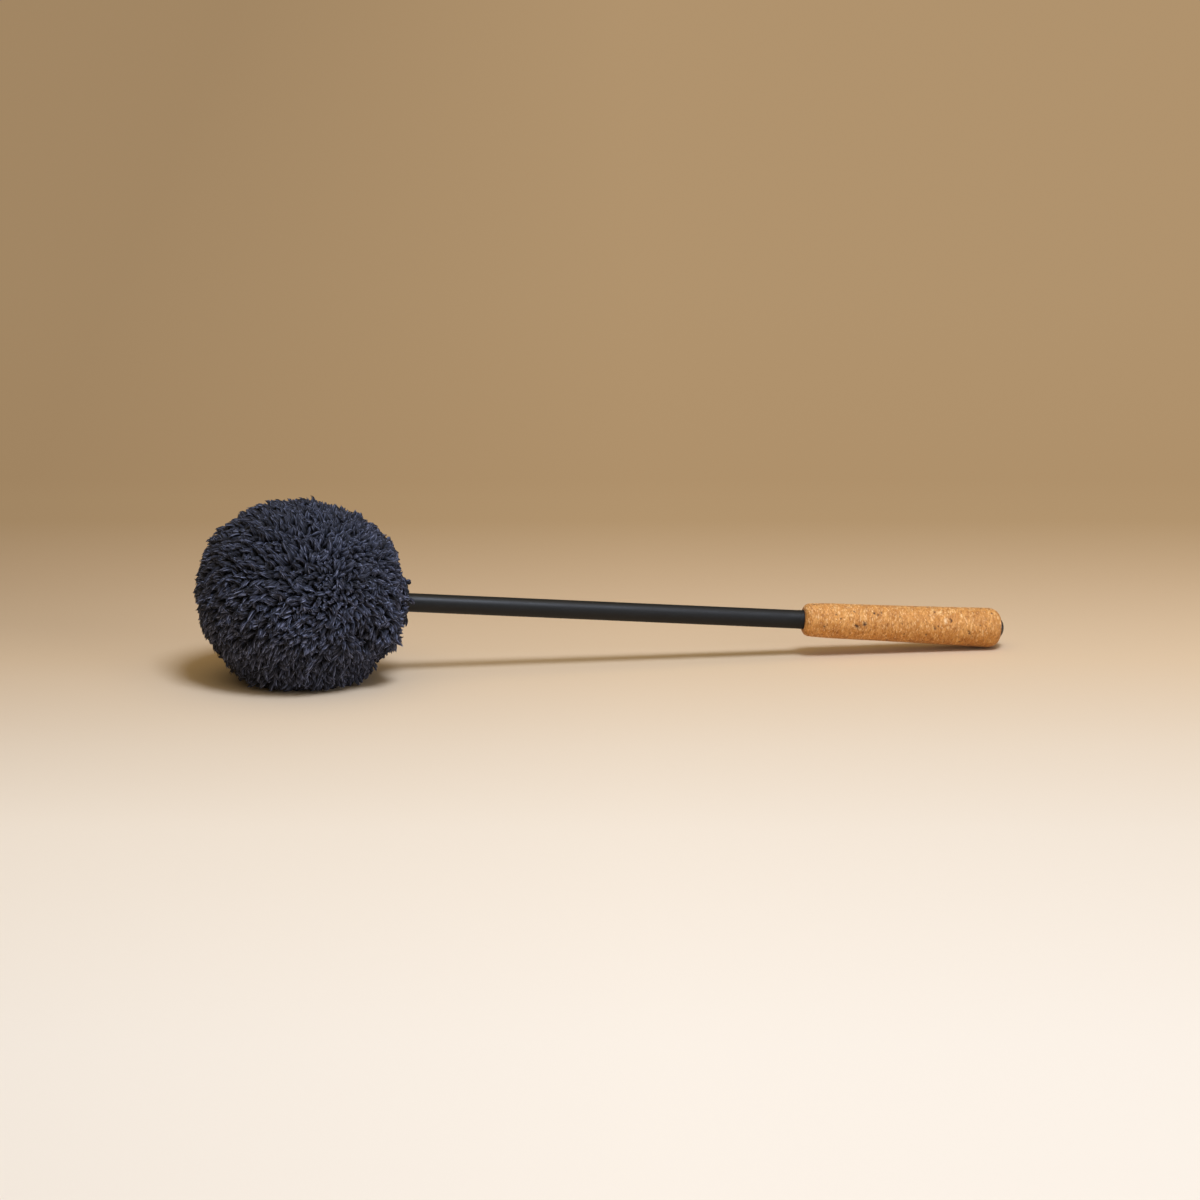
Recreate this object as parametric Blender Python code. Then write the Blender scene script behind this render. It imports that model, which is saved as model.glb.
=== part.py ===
"""Gong mallet: a fleece ball on a slim flexible tube with a cork grip, lying on its head and butt.

Metres, +Z up. The mallet is built along its own axis, which is local +X: the head's centre is the
local origin and the butt lies at +X. An empty then tips that axis until the butt touches the floor.
"""

from math import asin, atan2, cos, degrees, exp, hypot, pi, sin, sqrt

import bmesh
import bpy
from mathutils import Matrix, Vector, noise

# Head: the soft ball and its fleece cover
HEAD_LENGTH = 0.112
HEAD_DIAMETER = 0.106
COVER_THICKNESS = 0.012
PRESSED_THICKNESS = 0.003
FOOT_SPREAD = 0.0047
FOOT_HEIGHT = 0.018
GATHER_THICKNESS = 0.003
DIMPLE_RADIUS = 0.0175
HEM_LENGTH = 0.0075
HEM_SPREAD = 0.0032
PLEATS = 10
PLEAT_DEPTH = 0.0012
PLEAT_REACH = 0.030

# Pile: its main tufts, and the bulge of the gathered cloth round the neck
TUFT_SPACING = 0.0105
TUFT_HEIGHT = 0.0028
TUFT_SCATTER = 0.0028
SCATTER_PITCH = 9.1
SHOULDER_HEIGHT = 0.0026
SHOULDER_ANGLE = 30.0
SHOULDER_WIDTH = 13.0

# Lumps of the head as it lies: direction from its centre, height, and width in degrees
LUMPS = (
    ((-0.41, 0.29, 0.87), 0.0006, 9.0),
    ((0.05, 0.23, 0.97), -0.0024, 18.0),
    ((0.48, 0.12, 0.87), -0.0018, 10.0),
    ((-0.58, 0.29, 0.75), -0.0018, 7.0),
    ((-0.77, 0.28, 0.56), 0.0024, 9.0),
    ((0.79, 0.0, 0.61), -0.0030, 10.0),
    ((-0.81, 0.0, -0.58), -0.0015, 13.0),
    ((0.80, -0.50, -0.33), 0.0020, 12.0),
)

# Crease that sets off the lobe at the rear of the head: its two ends, width and depth
CREASE_START = (0.50, -0.84, -0.23)
CREASE_END = (0.73, -0.29, -0.62)
CREASE_WIDTH = 0.09
CREASE_DEPTH = 0.0040

# Thread that ties the gathered neck
THREAD_DIAMETER = 0.0009
THREAD_SPACING = 0.00045
THREAD_TURNS = 3

# Felt and core
FELT_THICKNESS = 0.004
FELT_EDGE = 0.0016
CORE_DIAMETER = 0.040
CORE_LENGTH = 0.040
CORE_EDGE = 0.0025
RECESS_DIAMETER = 0.018
RECESS_DEPTH = 0.0085
WEIGHT_DIAMETER = 0.030
WEIGHT_LENGTH = 0.014
COLLAR_DIAMETER = 0.018
COLLAR_LENGTH = 0.008
COLLAR_CHAMFER = 0.0008

# Screw that draws the core against the collar
SCREW_DIAMETER = 0.004
SCREW_LENGTH = 0.020
SCREW_HEAD_DIAMETER = 0.007
SCREW_HEAD_HEIGHT = 0.004
SOCKET_FLATS = 0.003
SOCKET_DEPTH = 0.002
WASHER_DIAMETER = 0.015
WASHER_THICKNESS = 0.0012
SPRING_DIAMETER = 0.0076
SPRING_THICKNESS = 0.0009
SPRING_SPLIT = 0.30
INSERT_LENGTH = 0.018
DRAW_UP = 0.0005

# Tube, grip and plug
SHAFT_DIAMETER = 0.010
SHAFT_BORE = 0.007
SHAFT_SHOWN = 0.217
GRIP_LENGTH = 0.109
GRIP_FRONT_DIAMETER = 0.0173
GRIP_NECK_DIAMETER = 0.0188
GRIP_BUTT_DIAMETER = 0.0218
GRIP_SHOULDER = 0.020
GRIP_SWELL = 1.7
GRIP_FRONT_EDGE = 0.0030
BUTT_LAND = 0.0004
PLUG_FLANGE = 0.0010
PLUG_DOME = 0.00265
PLUG_STEM = 0.012

# Clearance between pieces that touch, and the facets of round pieces
GAP = 0.0003
BALL_SEGMENTS = 4 * PLEATS
ROUND_SEGMENTS = 32
SMALL_SEGMENTS = 24
OVAL_STEP = pi / 12
LIP_STEPS = 3
MERGE = 0.00001

# Sizes that follow from the ones above
BALL_LENGTH = HEAD_LENGTH / 2
BALL_RADIUS = HEAD_DIAMETER / 2
HOLLOW_LENGTH = BALL_LENGTH - COVER_THICKNESS
HOLLOW_RADIUS = BALL_RADIUS - COVER_THICKNESS
SHAFT_RADIUS = SHAFT_DIAMETER / 2
TUBE_CLEAR = SHAFT_RADIUS + GAP
WAIST_RADIUS = TUBE_CLEAR + GATHER_THICKNESS
THREAD_PITCH = THREAD_DIAMETER + THREAD_SPACING
WAIST_START = HOLLOW_LENGTH + GATHER_THICKNESS / 2
WAIST_LENGTH = THREAD_TURNS * THREAD_PITCH + THREAD_DIAMETER + 2 * GAP
WAIST_END = WAIST_START + WAIST_LENGTH
HEM_END = WAIST_END + HEM_LENGTH
CORE_RADIUS = CORE_DIAMETER / 2
CORE_FRONT = -CORE_LENGTH / 2
CORE_REAR = CORE_LENGTH / 2
RECESS_FLOOR = CORE_FRONT + RECESS_DEPTH
FELT_INSIDE = CORE_RADIUS + GAP
FELT_OUTSIDE = FELT_INSIDE + FELT_THICKNESS
DISC_FRONT = CORE_FRONT - GAP - FELT_THICKNESS
DISC_REAR = CORE_REAR + GAP + FELT_THICKNESS
COLLAR_RADIUS = COLLAR_DIAMETER / 2
SCREW_CLEAR = SCREW_DIAMETER / 2 + GAP
WASHER_SEAT = RECESS_FLOOR - GAP
SPRING_SEAT = WASHER_SEAT - WASHER_THICKNESS - GAP
HEAD_SEAT = SPRING_SEAT - SPRING_THICKNESS - GAP
TUBE_FRONT = RECESS_FLOOR + DRAW_UP
GRIP_START = BALL_LENGTH + SHAFT_SHOWN
GRIP_END = GRIP_START + GRIP_LENGTH
PLUG_SEAT = GRIP_END - PLUG_FLANGE
TUBE_END = PLUG_SEAT - GAP
BORE_FIT = SHAFT_BORE / 2 - GAP
HEAD_HEIGHT = HOLLOW_RADIUS + PRESSED_THICKNESS
NET_ANGLE = asin(PLEAT_REACH / BALL_RADIUS)
TUFTS = round(4 * pi * (BALL_RADIUS / TUFT_SPACING) ** 2 * 2 / sqrt(3))


def clear_scene():
    """Start from an empty scene."""
    for thing in list(bpy.data.objects):
        bpy.data.objects.remove(thing, do_unlink=True)


def finish(name, colour, roughness, metallic=0.0):
    """A plain shaded material with the real piece's colour and gloss."""
    material = bpy.data.materials.new(name)
    material.use_nodes = True
    shader = material.node_tree.nodes["Principled BSDF"]
    shader.inputs["Base Color"].default_value = (*colour, 1.0)
    shader.inputs["Roughness"].default_value = roughness
    shader.inputs["Metallic"].default_value = metallic
    material.diffuse_color = (*colour, 1.0)
    return material


def bend(start, corner, end, steps):
    """Points after start on a smooth curve that leaves and arrives along the lines to the corner."""
    points = []
    for step in range(1, steps + 1):
        t = step / steps
        points.append(tuple(
            (1 - t) ** 2 * a + 2 * t * (1 - t) * b + t ** 2 * c
            for a, b, c in zip(start, corner, end)
        ))
    return points


def oval(half_length, radius, first, last):
    """Points on an oval about the axis, from angle first to angle last off the rear pole.

    Between its ends every oval is divided at the same angles, so that nested ovals keep their gap.
    """
    low, high = min(first, last), max(first, last)
    least = OVAL_STEP / 8
    marks = [OVAL_STEP * step for step in range(1, round(pi / OVAL_STEP))]
    angles = [low] + [mark for mark in marks if low + least < mark < high - least] + [high]
    if first > last:
        angles.reverse()
    return [(half_length * cos(angle), radius * sin(angle)) for angle in angles]


def quarter(along, radius, size, first, steps):
    """A rounded edge: points on a quarter circle about (along, radius), starting at angle first."""
    points = []
    for step in range(steps + 1):
        angle = first - pi / 2 * step / steps
        points.append((along + size * cos(angle), radius + size * sin(angle)))
    return points


def spun(outline, segments, closed=True):
    """A shape turned about the axis from an outline of (along, radius) points, closed or open."""
    shape = bmesh.new()
    corners = [shape.verts.new((along, 0, -radius)) for along, radius in outline]
    pairs = zip(corners, corners[1:] + corners[:1] if closed else corners[1:])
    edges = [shape.edges.new(pair) for pair in pairs if max(-v.co.z for v in pair) > MERGE]
    bmesh.ops.spin(
        shape, geom=corners + edges, cent=(0, 0, 0), axis=(1, 0, 0), dvec=(0, 0, 0),
        angle=2 * pi, steps=segments, use_merge=True, use_duplicate=False,
    )
    bmesh.ops.remove_doubles(shape, verts=shape.verts, dist=MERGE)
    bmesh.ops.recalc_face_normals(shape, faces=shape.faces)
    return shape


def piece(name, shape, material, parent, along=0.0):
    """Put a finished shape into the scene as one named piece, at its seat along the axis."""
    mesh = bpy.data.meshes.new(name)
    shape.to_mesh(mesh)
    shape.free()
    mesh.materials.append(material)
    mesh.shade_smooth()
    mesh.set_sharp_from_angle(angle=pi / 5)
    thing = bpy.data.objects.new(name, mesh)
    bpy.context.scene.collection.objects.link(thing)
    thing.parent = parent
    thing.location.x = along
    return thing


def grip_radius(along):
    """Outer radius of the grip: a soft shoulder at the front, then a swell towards the butt."""
    swell = (along / GRIP_LENGTH) ** GRIP_SWELL
    radius = GRIP_NECK_DIAMETER / 2 + (GRIP_BUTT_DIAMETER - GRIP_NECK_DIAMETER) / 2 * swell
    shoulder = max(0.0, 1 - along / GRIP_SHOULDER)
    return radius - (GRIP_NECK_DIAMETER - GRIP_FRONT_DIAMETER) / 2 * shoulder ** 2


def grip_outline():
    """Outline of the cork sleeve, from its front bore edge over the outside to its butt."""
    butt_radius = GRIP_BUTT_DIAMETER / 2
    butt_round = butt_radius - TUBE_CLEAR - BUTT_LAND
    front = quarter(GRIP_FRONT_EDGE, grip_radius(GRIP_FRONT_EDGE) - GRIP_FRONT_EDGE,
                    GRIP_FRONT_EDGE, pi, 3)
    shoulder = [GRIP_SHOULDER * step / 5 for step in range(1, 6)]
    rest = GRIP_LENGTH - butt_round - GRIP_SHOULDER
    body = [GRIP_SHOULDER + rest * step / 7 for step in range(1, 7)]
    sides = [(along, grip_radius(along)) for along in shoulder + body]
    butt = quarter(GRIP_LENGTH - butt_round, butt_radius - butt_round, butt_round, pi / 2, 8)
    return [(0.0, TUBE_CLEAR)] + front + sides + butt + [(GRIP_LENGTH, TUBE_CLEAR)]


def rest_tilt():
    """How far the axis tips when the head's pressed face and the grip's lowest point touch the floor."""
    tilts = []
    for along, radius in grip_outline():
        reach = hypot(GRIP_START + along, radius)
        tilts.append(asin(HEAD_HEIGHT / reach) - atan2(radius, GRIP_START + along))
    return min(tilts)


def pleat_weight(along, radius):
    """How deep the gathers are at a point of the cover's outside, from 0 to 1."""
    if along > WAIST_END and radius > WAIST_RADIUS:
        return (along - WAIST_END) / HEM_LENGTH
    if along > WAIST_START and radius > DIMPLE_RADIUS - MERGE:
        return max(0.0, (PLEAT_REACH - radius) / (PLEAT_REACH - DIMPLE_RADIUS))
    return 0.0


def neck_outline():
    """Outline of the drawn-in cloth: rear of the ball, dimple, waist under the thread, hem and inside."""
    dimple_angle = asin(DIMPLE_RADIUS / BALL_RADIUS)
    ball = []
    for step in range(LIP_STEPS + 1):
        angle = NET_ANGLE + (dimple_angle - NET_ANGLE) * step / LIP_STEPS
        ball.append((BALL_LENGTH * cos(angle), BALL_RADIUS * sin(angle)))
    lip = ball[-1]
    floor = (WAIST_START, (WAIST_RADIUS + DIMPLE_RADIUS) / 2)
    waist = (WAIST_START, WAIST_RADIUS)
    waist_end = (WAIST_END, WAIST_RADIUS)
    spread = WAIST_RADIUS + HEM_SPREAD
    hem_side = (WAIST_END + HEM_LENGTH * 0.6, spread)
    hem_tip = (HEM_END, (spread + TUBE_CLEAR) / 2)
    outside = ball + bend(lip, (WAIST_START, DIMPLE_RADIUS), floor, 3) + [waist, waist_end]
    outside += bend(waist_end, (WAIST_END, spread), hem_side, 2)
    outside += bend(hem_side, (HEM_END, spread), hem_tip, 2)
    neck_angle = asin(TUBE_CLEAR / HOLLOW_RADIUS)
    inside = oval(HOLLOW_LENGTH, HOLLOW_RADIUS, neck_angle, pi)
    return outside + [(HEM_END, TUBE_CLEAR)] + inside


def free_of_floor(spot, down):
    """How free of the floor's pressure a point of the ball is: 0 at the floor, 1 above the foot."""
    return min(1.0, max(0.0, (HEAD_HEIGHT - spot.dot(down)) / FOOT_HEIGHT))


def drift(place):
    """A smooth uneven shift that depends on the place alone."""
    return Vector([noise.noise(place + Vector(offset)) for offset in ((0, 0, 0), (31, 7, 0), (0, 53, 19))])


def tuft_directions():
    """Where the tufts are, as directions for a round ball: evenly spread, then scattered a little."""
    golden = pi * (3 - sqrt(5))
    scatter = 2 * TUFT_SCATTER / BALL_RADIUS
    clear = cos(NET_ANGLE + TUFT_SPACING / 2 / BALL_RADIUS)
    found = []
    for index in range(TUFTS):
        along = 2 * (index + 0.5) / TUFTS - 1
        around = sqrt(1 - along * along)
        direction = Vector((along, around * cos(golden * index), around * sin(golden * index)))
        direction = (direction + scatter * drift(direction * SCATTER_PITCH)).normalized()
        if direction.x < clear:
            found.append(direction)
    return found


def tufted_net(rim, down):
    """The ball's outside, open at the neck: one low dome for each tuft, with valleys between them.

    The tufts are joined to a net of triangles. A low point goes in the middle of each triangle, and
    each edge between two tufts is turned, so that it joins the low points and runs along a valley.
    """
    net = bmesh.new()
    border = {net.verts.new((co.x / BALL_LENGTH, co.y / BALL_RADIUS, co.z / BALL_RADIUS)) for co in rim}
    for direction in tuft_directions():
        net.verts.new(direction)
    bmesh.ops.convex_hull(net, input=net.verts)
    lid = [face for face in net.faces if border.issuperset(face.verts)]
    bmesh.ops.delete(net, geom=lid, context="FACES")
    joins = net.edges[:]
    inner = [face for face in net.faces if border.isdisjoint(face.verts)]
    low = set(bmesh.ops.poke(net, faces=inner, center_mode="MEAN")["verts"])
    turned = [
        edge for edge in joins
        if len(edge.link_faces) == 2 and all(not low.isdisjoint(face.verts) for face in edge.link_faces)
    ]
    bmesh.ops.rotate_edges(net, edges=turned)
    for vertex in net.verts:
        even = vertex.co.normalized()
        vertex.co = Vector((even.x * BALL_LENGTH, even.y * BALL_RADIUS, even.z * BALL_RADIUS))
        if vertex in low:
            vertex.co -= vertex.co.normalized() * TUFT_HEIGHT * free_of_floor(vertex.co, down)
    return net


def fading(distance, width):
    """A soft bulge: 1 at no distance, fading out over its width."""
    return exp(-(distance / width) ** 2)


def unevenness(direction, neck):
    """How far the head's outside stands off an even oval, in a direction as the head lies."""
    off_neck = degrees(direction.angle(neck))
    stand = SHOULDER_HEIGHT * fading(off_neck - SHOULDER_ANGLE, SHOULDER_WIDTH)
    for place, height, width in LUMPS:
        stand += height * fading(degrees(direction.angle(Vector(place))), width)
    start, end = Vector(CREASE_START), Vector(CREASE_END)
    line = end - start
    share = min(1.0, max(0.0, (direction - start).dot(line) / line.length_squared))
    return stand - CREASE_DEPTH * fading((direction - start - share * line).length, CREASE_WIDTH)


def shape_by_hand(shape, tilt, down):
    """Give the even cover its lumps, its shoulder round the neck, its crease and its pleats."""
    lie = Matrix.Rotation(tilt, 3, "Y")
    neck = lie @ Vector((1.0, 0.0, 0.0))
    middle = (HOLLOW_RADIUS + BALL_RADIUS) / 2
    shape.normal_update()
    moves = []
    for vertex in shape.verts:
        spot = vertex.co
        radius = hypot(spot.y, spot.z)
        wave = cos(PLEATS * atan2(spot.y, -spot.z))
        move = vertex.normal * PLEAT_DEPTH * wave * pleat_weight(spot.x, radius)
        if spot.length > middle and (spot.x < 0 or radius > DIMPLE_RADIUS - MERGE):
            share = free_of_floor(spot, down)
            if spot.x > 0:
                share *= min(1.0, (radius - WAIST_RADIUS) / DIMPLE_RADIUS)
            move += spot.normalized() * unevenness((lie @ spot).normalized(), neck) * share
        moves.append(move)
    for vertex, move in zip(shape.verts, moves):
        vertex.co += move


def spread_foot(shape, down):
    """Let the outside of the ball swell just above the floor, where the head's weight presses it."""
    middle = (HOLLOW_RADIUS + BALL_RADIUS) / 2
    for vertex in shape.verts:
        height = HEAD_HEIGHT - vertex.co.dot(down)
        outward = vertex.co - down * vertex.co.dot(down)
        if height < FOOT_HEIGHT and vertex.co.length > middle:
            vertex.co += outward.normalized() * FOOT_SPREAD * (1 - height / FOOT_HEIGHT) ** 2


def fleece_cover(material, parent, tilt):
    """The fleece bag: tufted, pleated where it is drawn in, and pressed flat where the head rests."""
    down = Vector((sin(tilt), 0.0, -cos(tilt)))
    shape = spun(neck_outline(), BALL_SEGMENTS, closed=False)
    net = tufted_net([vertex.co for vertex in shape.verts if vertex.is_boundary], down)
    tufted = bpy.data.meshes.new("tufted_net")
    net.to_mesh(tufted)
    net.free()
    shape.from_mesh(tufted)
    bpy.data.meshes.remove(tufted)
    bmesh.ops.remove_doubles(shape, verts=shape.verts, dist=MERGE)
    bmesh.ops.recalc_face_normals(shape, faces=shape.faces)
    shape_by_hand(shape, tilt, down)
    cut = bmesh.ops.bisect_plane(
        shape, geom=shape.verts[:] + shape.edges[:] + shape.faces[:], dist=MERGE,
        plane_co=HEAD_HEIGHT * down, plane_no=down, clear_outer=True,
    )
    rim = [item for item in cut["geom_cut"] if isinstance(item, bmesh.types.BMEdge)]
    bmesh.ops.edgeloop_fill(shape, edges=rim)
    spread_foot(shape, down)
    bmesh.ops.recalc_face_normals(shape, faces=shape.faces)
    return piece("fleece_cover", shape, material, parent)


def neck_binding(material, parent):
    """The thread that ties the neck: one tube wound in even turns round the waist."""
    radius = WAIST_RADIUS + GAP + THREAD_DIAMETER / 2
    start = WAIST_START + GAP + THREAD_DIAMETER / 2
    per_turn = 24
    route = []
    for step in range(THREAD_TURNS * per_turn + 1):
        angle = 2 * pi * step / per_turn
        along = start + THREAD_PITCH * step / per_turn
        route.append((along, radius * sin(angle), radius * cos(angle)))
    least = min(
        sqrt(sum((a - b) ** 2 for a, b in zip(route[first], route[second])))
        for first in range(len(route)) for second in range(first + per_turn // 2, len(route))
    )
    print(f"neck_binding: least gap between turns {(least - THREAD_DIAMETER) * 1000:.2f} mm")
    curve = bpy.data.curves.new("neck_binding", "CURVE")
    curve.dimensions = "3D"
    curve.bevel_depth = THREAD_DIAMETER / 2
    curve.bevel_resolution = 1
    curve.use_fill_caps = True
    spline = curve.splines.new("POLY")
    spline.points.add(len(route) - 1)
    for point, place in zip(spline.points, route):
        point.co = (*place, 1.0)
    curve.materials.append(material)
    thing = bpy.data.objects.new("neck_binding", curve)
    bpy.context.scene.collection.objects.link(thing)
    thing.parent = parent
    return thing


def padding(material, parent):
    """The two halves of the soft ball, hollow for the felted core and the collar."""
    skin_length = HOLLOW_LENGTH - GAP
    skin_radius = HOLLOW_RADIUS - GAP
    room = FELT_OUTSIDE + GAP
    front_wall = DISC_FRONT - GAP
    rear_wall = DISC_REAR + GAP
    seam = GAP / 2
    halfway = asin(seam / skin_length)
    front = oval(skin_length, skin_radius, pi, pi / 2 + halfway)
    front += [(-seam, room), (front_wall, room), (front_wall, 0.0)]
    piece("padding_front", spun(front, BALL_SEGMENTS), material, parent)
    collar_room = COLLAR_RADIUS + GAP
    collar_wall = max(CORE_REAR + GAP + COLLAR_LENGTH, DISC_REAR) + GAP
    neck_angle = asin(TUBE_CLEAR / skin_radius)
    rear = oval(skin_length, skin_radius, pi / 2 - halfway, neck_angle)
    rear += [(collar_wall, TUBE_CLEAR), (collar_wall, collar_room), (rear_wall, collar_room)]
    rear += [(rear_wall, room), (seam, room)]
    piece("padding_rear", spun(rear, BALL_SEGMENTS), material, parent)


def felt(material, parent):
    """Firm felt round the core: a band on its rim and a disc on each face."""
    half = CORE_LENGTH / 2
    band = [(-half, FELT_INSIDE), (-half, FELT_OUTSIDE), (half, FELT_OUTSIDE), (half, FELT_INSIDE)]
    piece("felt_band", spun(band, ROUND_SEGMENTS), material, parent)
    rim = FELT_OUTSIDE - FELT_EDGE
    edge = FELT_THICKNESS - FELT_EDGE
    disc = [(0.0, 0.0)] + [(0.0, FELT_OUTSIDE), (-edge, FELT_OUTSIDE)]
    disc += bend((-edge, FELT_OUTSIDE), (-FELT_THICKNESS, FELT_OUTSIDE), (-FELT_THICKNESS, rim), 4)
    disc += [(-FELT_THICKNESS, 0.0)]
    piece("felt_disc_front", spun(disc, ROUND_SEGMENTS), material, parent, CORE_FRONT - GAP)
    hole = COLLAR_RADIUS + GAP
    ring = [(0.0, hole), (0.0, FELT_OUTSIDE), (edge, FELT_OUTSIDE)]
    ring += bend((edge, FELT_OUTSIDE), (FELT_THICKNESS, FELT_OUTSIDE), (FELT_THICKNESS, rim), 4)
    ring += [(FELT_THICKNESS, hole)]
    piece("felt_disc_rear", spun(ring, ROUND_SEGMENTS), material, parent, CORE_REAR + GAP)


def head_core(material, parent):
    """The turned core: a screw recess in front, a through bore and a pocket for the weight behind."""
    pocket_radius = WEIGHT_DIAMETER / 2 + GAP
    pocket_floor = CORE_REAR - WEIGHT_LENGTH - GAP
    recess_radius = RECESS_DIAMETER / 2
    outline = [(RECESS_FLOOR, TUBE_CLEAR), (RECESS_FLOOR, recess_radius)]
    outline += [(CORE_FRONT, recess_radius)]
    outline += quarter(CORE_FRONT + CORE_EDGE, CORE_RADIUS - CORE_EDGE, CORE_EDGE, pi, 4)
    outline += quarter(CORE_REAR - CORE_EDGE, CORE_RADIUS - CORE_EDGE, CORE_EDGE, pi / 2, 4)
    outline += [(CORE_REAR, pocket_radius), (pocket_floor, pocket_radius)]
    outline += [(pocket_floor, TUBE_CLEAR)]
    piece("head_core", spun(outline, ROUND_SEGMENTS), material, parent)


def core_weight(material, parent):
    """The steel ring in the back of the core."""
    radius = WEIGHT_DIAMETER / 2
    outline = [(-WEIGHT_LENGTH, TUBE_CLEAR), (-WEIGHT_LENGTH, radius), (0.0, radius),
               (0.0, TUBE_CLEAR)]
    piece("core_weight", spun(outline, ROUND_SEGMENTS), material, parent, CORE_REAR)


def stop_collar(material, parent):
    """The collar on the tube that the weight and the core are drawn against."""
    chamfer = COLLAR_RADIUS - COLLAR_CHAMFER
    outline = [(0.0, TUBE_CLEAR), (0.0, COLLAR_RADIUS), (COLLAR_LENGTH - COLLAR_CHAMFER, COLLAR_RADIUS),
               (COLLAR_LENGTH, chamfer), (COLLAR_LENGTH, TUBE_CLEAR)]
    piece("stop_collar", spun(outline, ROUND_SEGMENTS), material, parent, CORE_REAR + GAP)


def washers(material, parent):
    """The flat washer on the recess floor, and the split spring washer on it."""
    radius = WASHER_DIAMETER / 2
    flat = [(-WASHER_THICKNESS, SCREW_CLEAR), (-WASHER_THICKNESS, radius), (0.0, radius),
            (0.0, SCREW_CLEAR)]
    piece("core_washer", spun(flat, ROUND_SEGMENTS), material, parent, WASHER_SEAT)
    shape = bmesh.new()
    section = [(-SPRING_THICKNESS, SCREW_CLEAR), (-SPRING_THICKNESS, SPRING_DIAMETER / 2),
               (0.0, SPRING_DIAMETER / 2), (0.0, SCREW_CLEAR)]
    face = shape.faces.new([shape.verts.new((along, 0, -r)) for along, r in section])
    bmesh.ops.spin(
        shape, geom=[face, *face.edges, *face.verts], cent=(0, 0, 0), axis=(1, 0, 0),
        dvec=(0, 0, 0), angle=2 * pi - SPRING_SPLIT, steps=SMALL_SEGMENTS, use_duplicate=False,
    )
    bmesh.ops.recalc_face_normals(shape, faces=shape.faces)
    piece("spring_washer", shape, material, parent, SPRING_SEAT)


def core_screw(material, parent):
    """A socket-head screw: its head against the spring washer, its shank in the insert."""
    head = SCREW_HEAD_DIAMETER / 2
    shank = SCREW_DIAMETER / 2
    edge = SCREW_HEAD_HEIGHT / 8
    outline = [(-SCREW_HEAD_HEIGHT, 0.0), (-SCREW_HEAD_HEIGHT, head - edge),
               (edge - SCREW_HEAD_HEIGHT, head), (0.0, head), (0.0, shank),
               (SCREW_LENGTH - edge, shank), (SCREW_LENGTH, shank - edge), (SCREW_LENGTH, 0.0)]
    screw = piece("core_screw", spun(outline, SMALL_SEGMENTS), material, parent, HEAD_SEAT)
    key = bmesh.new()
    bmesh.ops.create_cone(
        key, cap_ends=True, segments=6, radius1=SOCKET_FLATS / sqrt(3),
        radius2=SOCKET_FLATS / sqrt(3), depth=2 * SOCKET_DEPTH,
    )
    socket = piece("screw_socket_cutter", key, material, parent, HEAD_SEAT - SCREW_HEAD_HEIGHT)
    socket.rotation_euler = (0.0, pi / 2, 0.0)
    socket.hide_render = True
    socket.display_type = "WIRE"
    cut = screw.modifiers.new("socket", "BOOLEAN")
    cut.operation = "DIFFERENCE"
    cut.object = socket


def tube_insert(material, parent):
    """The threaded insert that the screw bites into, glued in the tube's front end."""
    outline = [(0.0, SCREW_CLEAR), (0.0, BORE_FIT), (INSERT_LENGTH, BORE_FIT),
               (INSERT_LENGTH, SCREW_CLEAR)]
    piece("tube_insert", spun(outline, SMALL_SEGMENTS), material, parent, TUBE_FRONT)


def shaft_tube(material, parent):
    """The flexible tube, from the core's screw recess to the plug at the butt."""
    length = TUBE_END - TUBE_FRONT
    bore = SHAFT_BORE / 2
    outline = [(0.0, bore), (0.0, SHAFT_RADIUS), (length, SHAFT_RADIUS), (length, bore)]
    piece("shaft_tube", spun(outline, ROUND_SEGMENTS), material, parent, TUBE_FRONT)


def cork_grip(material, parent):
    """The cork sleeve, glued on the tube's rear end."""
    piece("cork_grip", spun(grip_outline(), ROUND_SEGMENTS), material, parent, GRIP_START)


def butt_plug(material, parent):
    """The domed plug: its stem in the tube, its dome standing out of the grip's butt."""
    ball = (SHAFT_RADIUS ** 2 + PLUG_DOME ** 2) / (2 * PLUG_DOME)
    spread = asin(SHAFT_RADIUS / ball)
    steps = 6
    outline = [(-PLUG_STEM, 0.0), (-PLUG_STEM, BORE_FIT), (0.0, BORE_FIT), (0.0, SHAFT_RADIUS)]
    for step in range(steps + 1):
        angle = spread * (1 - step / steps)
        outline.append((PLUG_FLANGE + PLUG_DOME - ball * (1 - cos(angle)), ball * sin(angle)))
    piece("butt_plug", spun(outline, SMALL_SEGMENTS), material, parent, PLUG_SEAT)


def lay_down(frame, tilt):
    """Tip the axis, stand the head on the floor and centre the mallet over the origin."""
    frame.rotation_euler = (0.0, tilt, 0.0)
    frame.location = (0.0, 0.0, HEAD_HEIGHT)
    bpy.context.view_layer.update()
    reach = [
        (thing.matrix_world @ vertex.co).x
        for thing in frame.children if thing.type == "MESH" and not thing.hide_render
        for vertex in thing.data.vertices
    ]
    frame.location.x = -(min(reach) + max(reach)) / 2
    bpy.context.view_layer.update()


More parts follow.
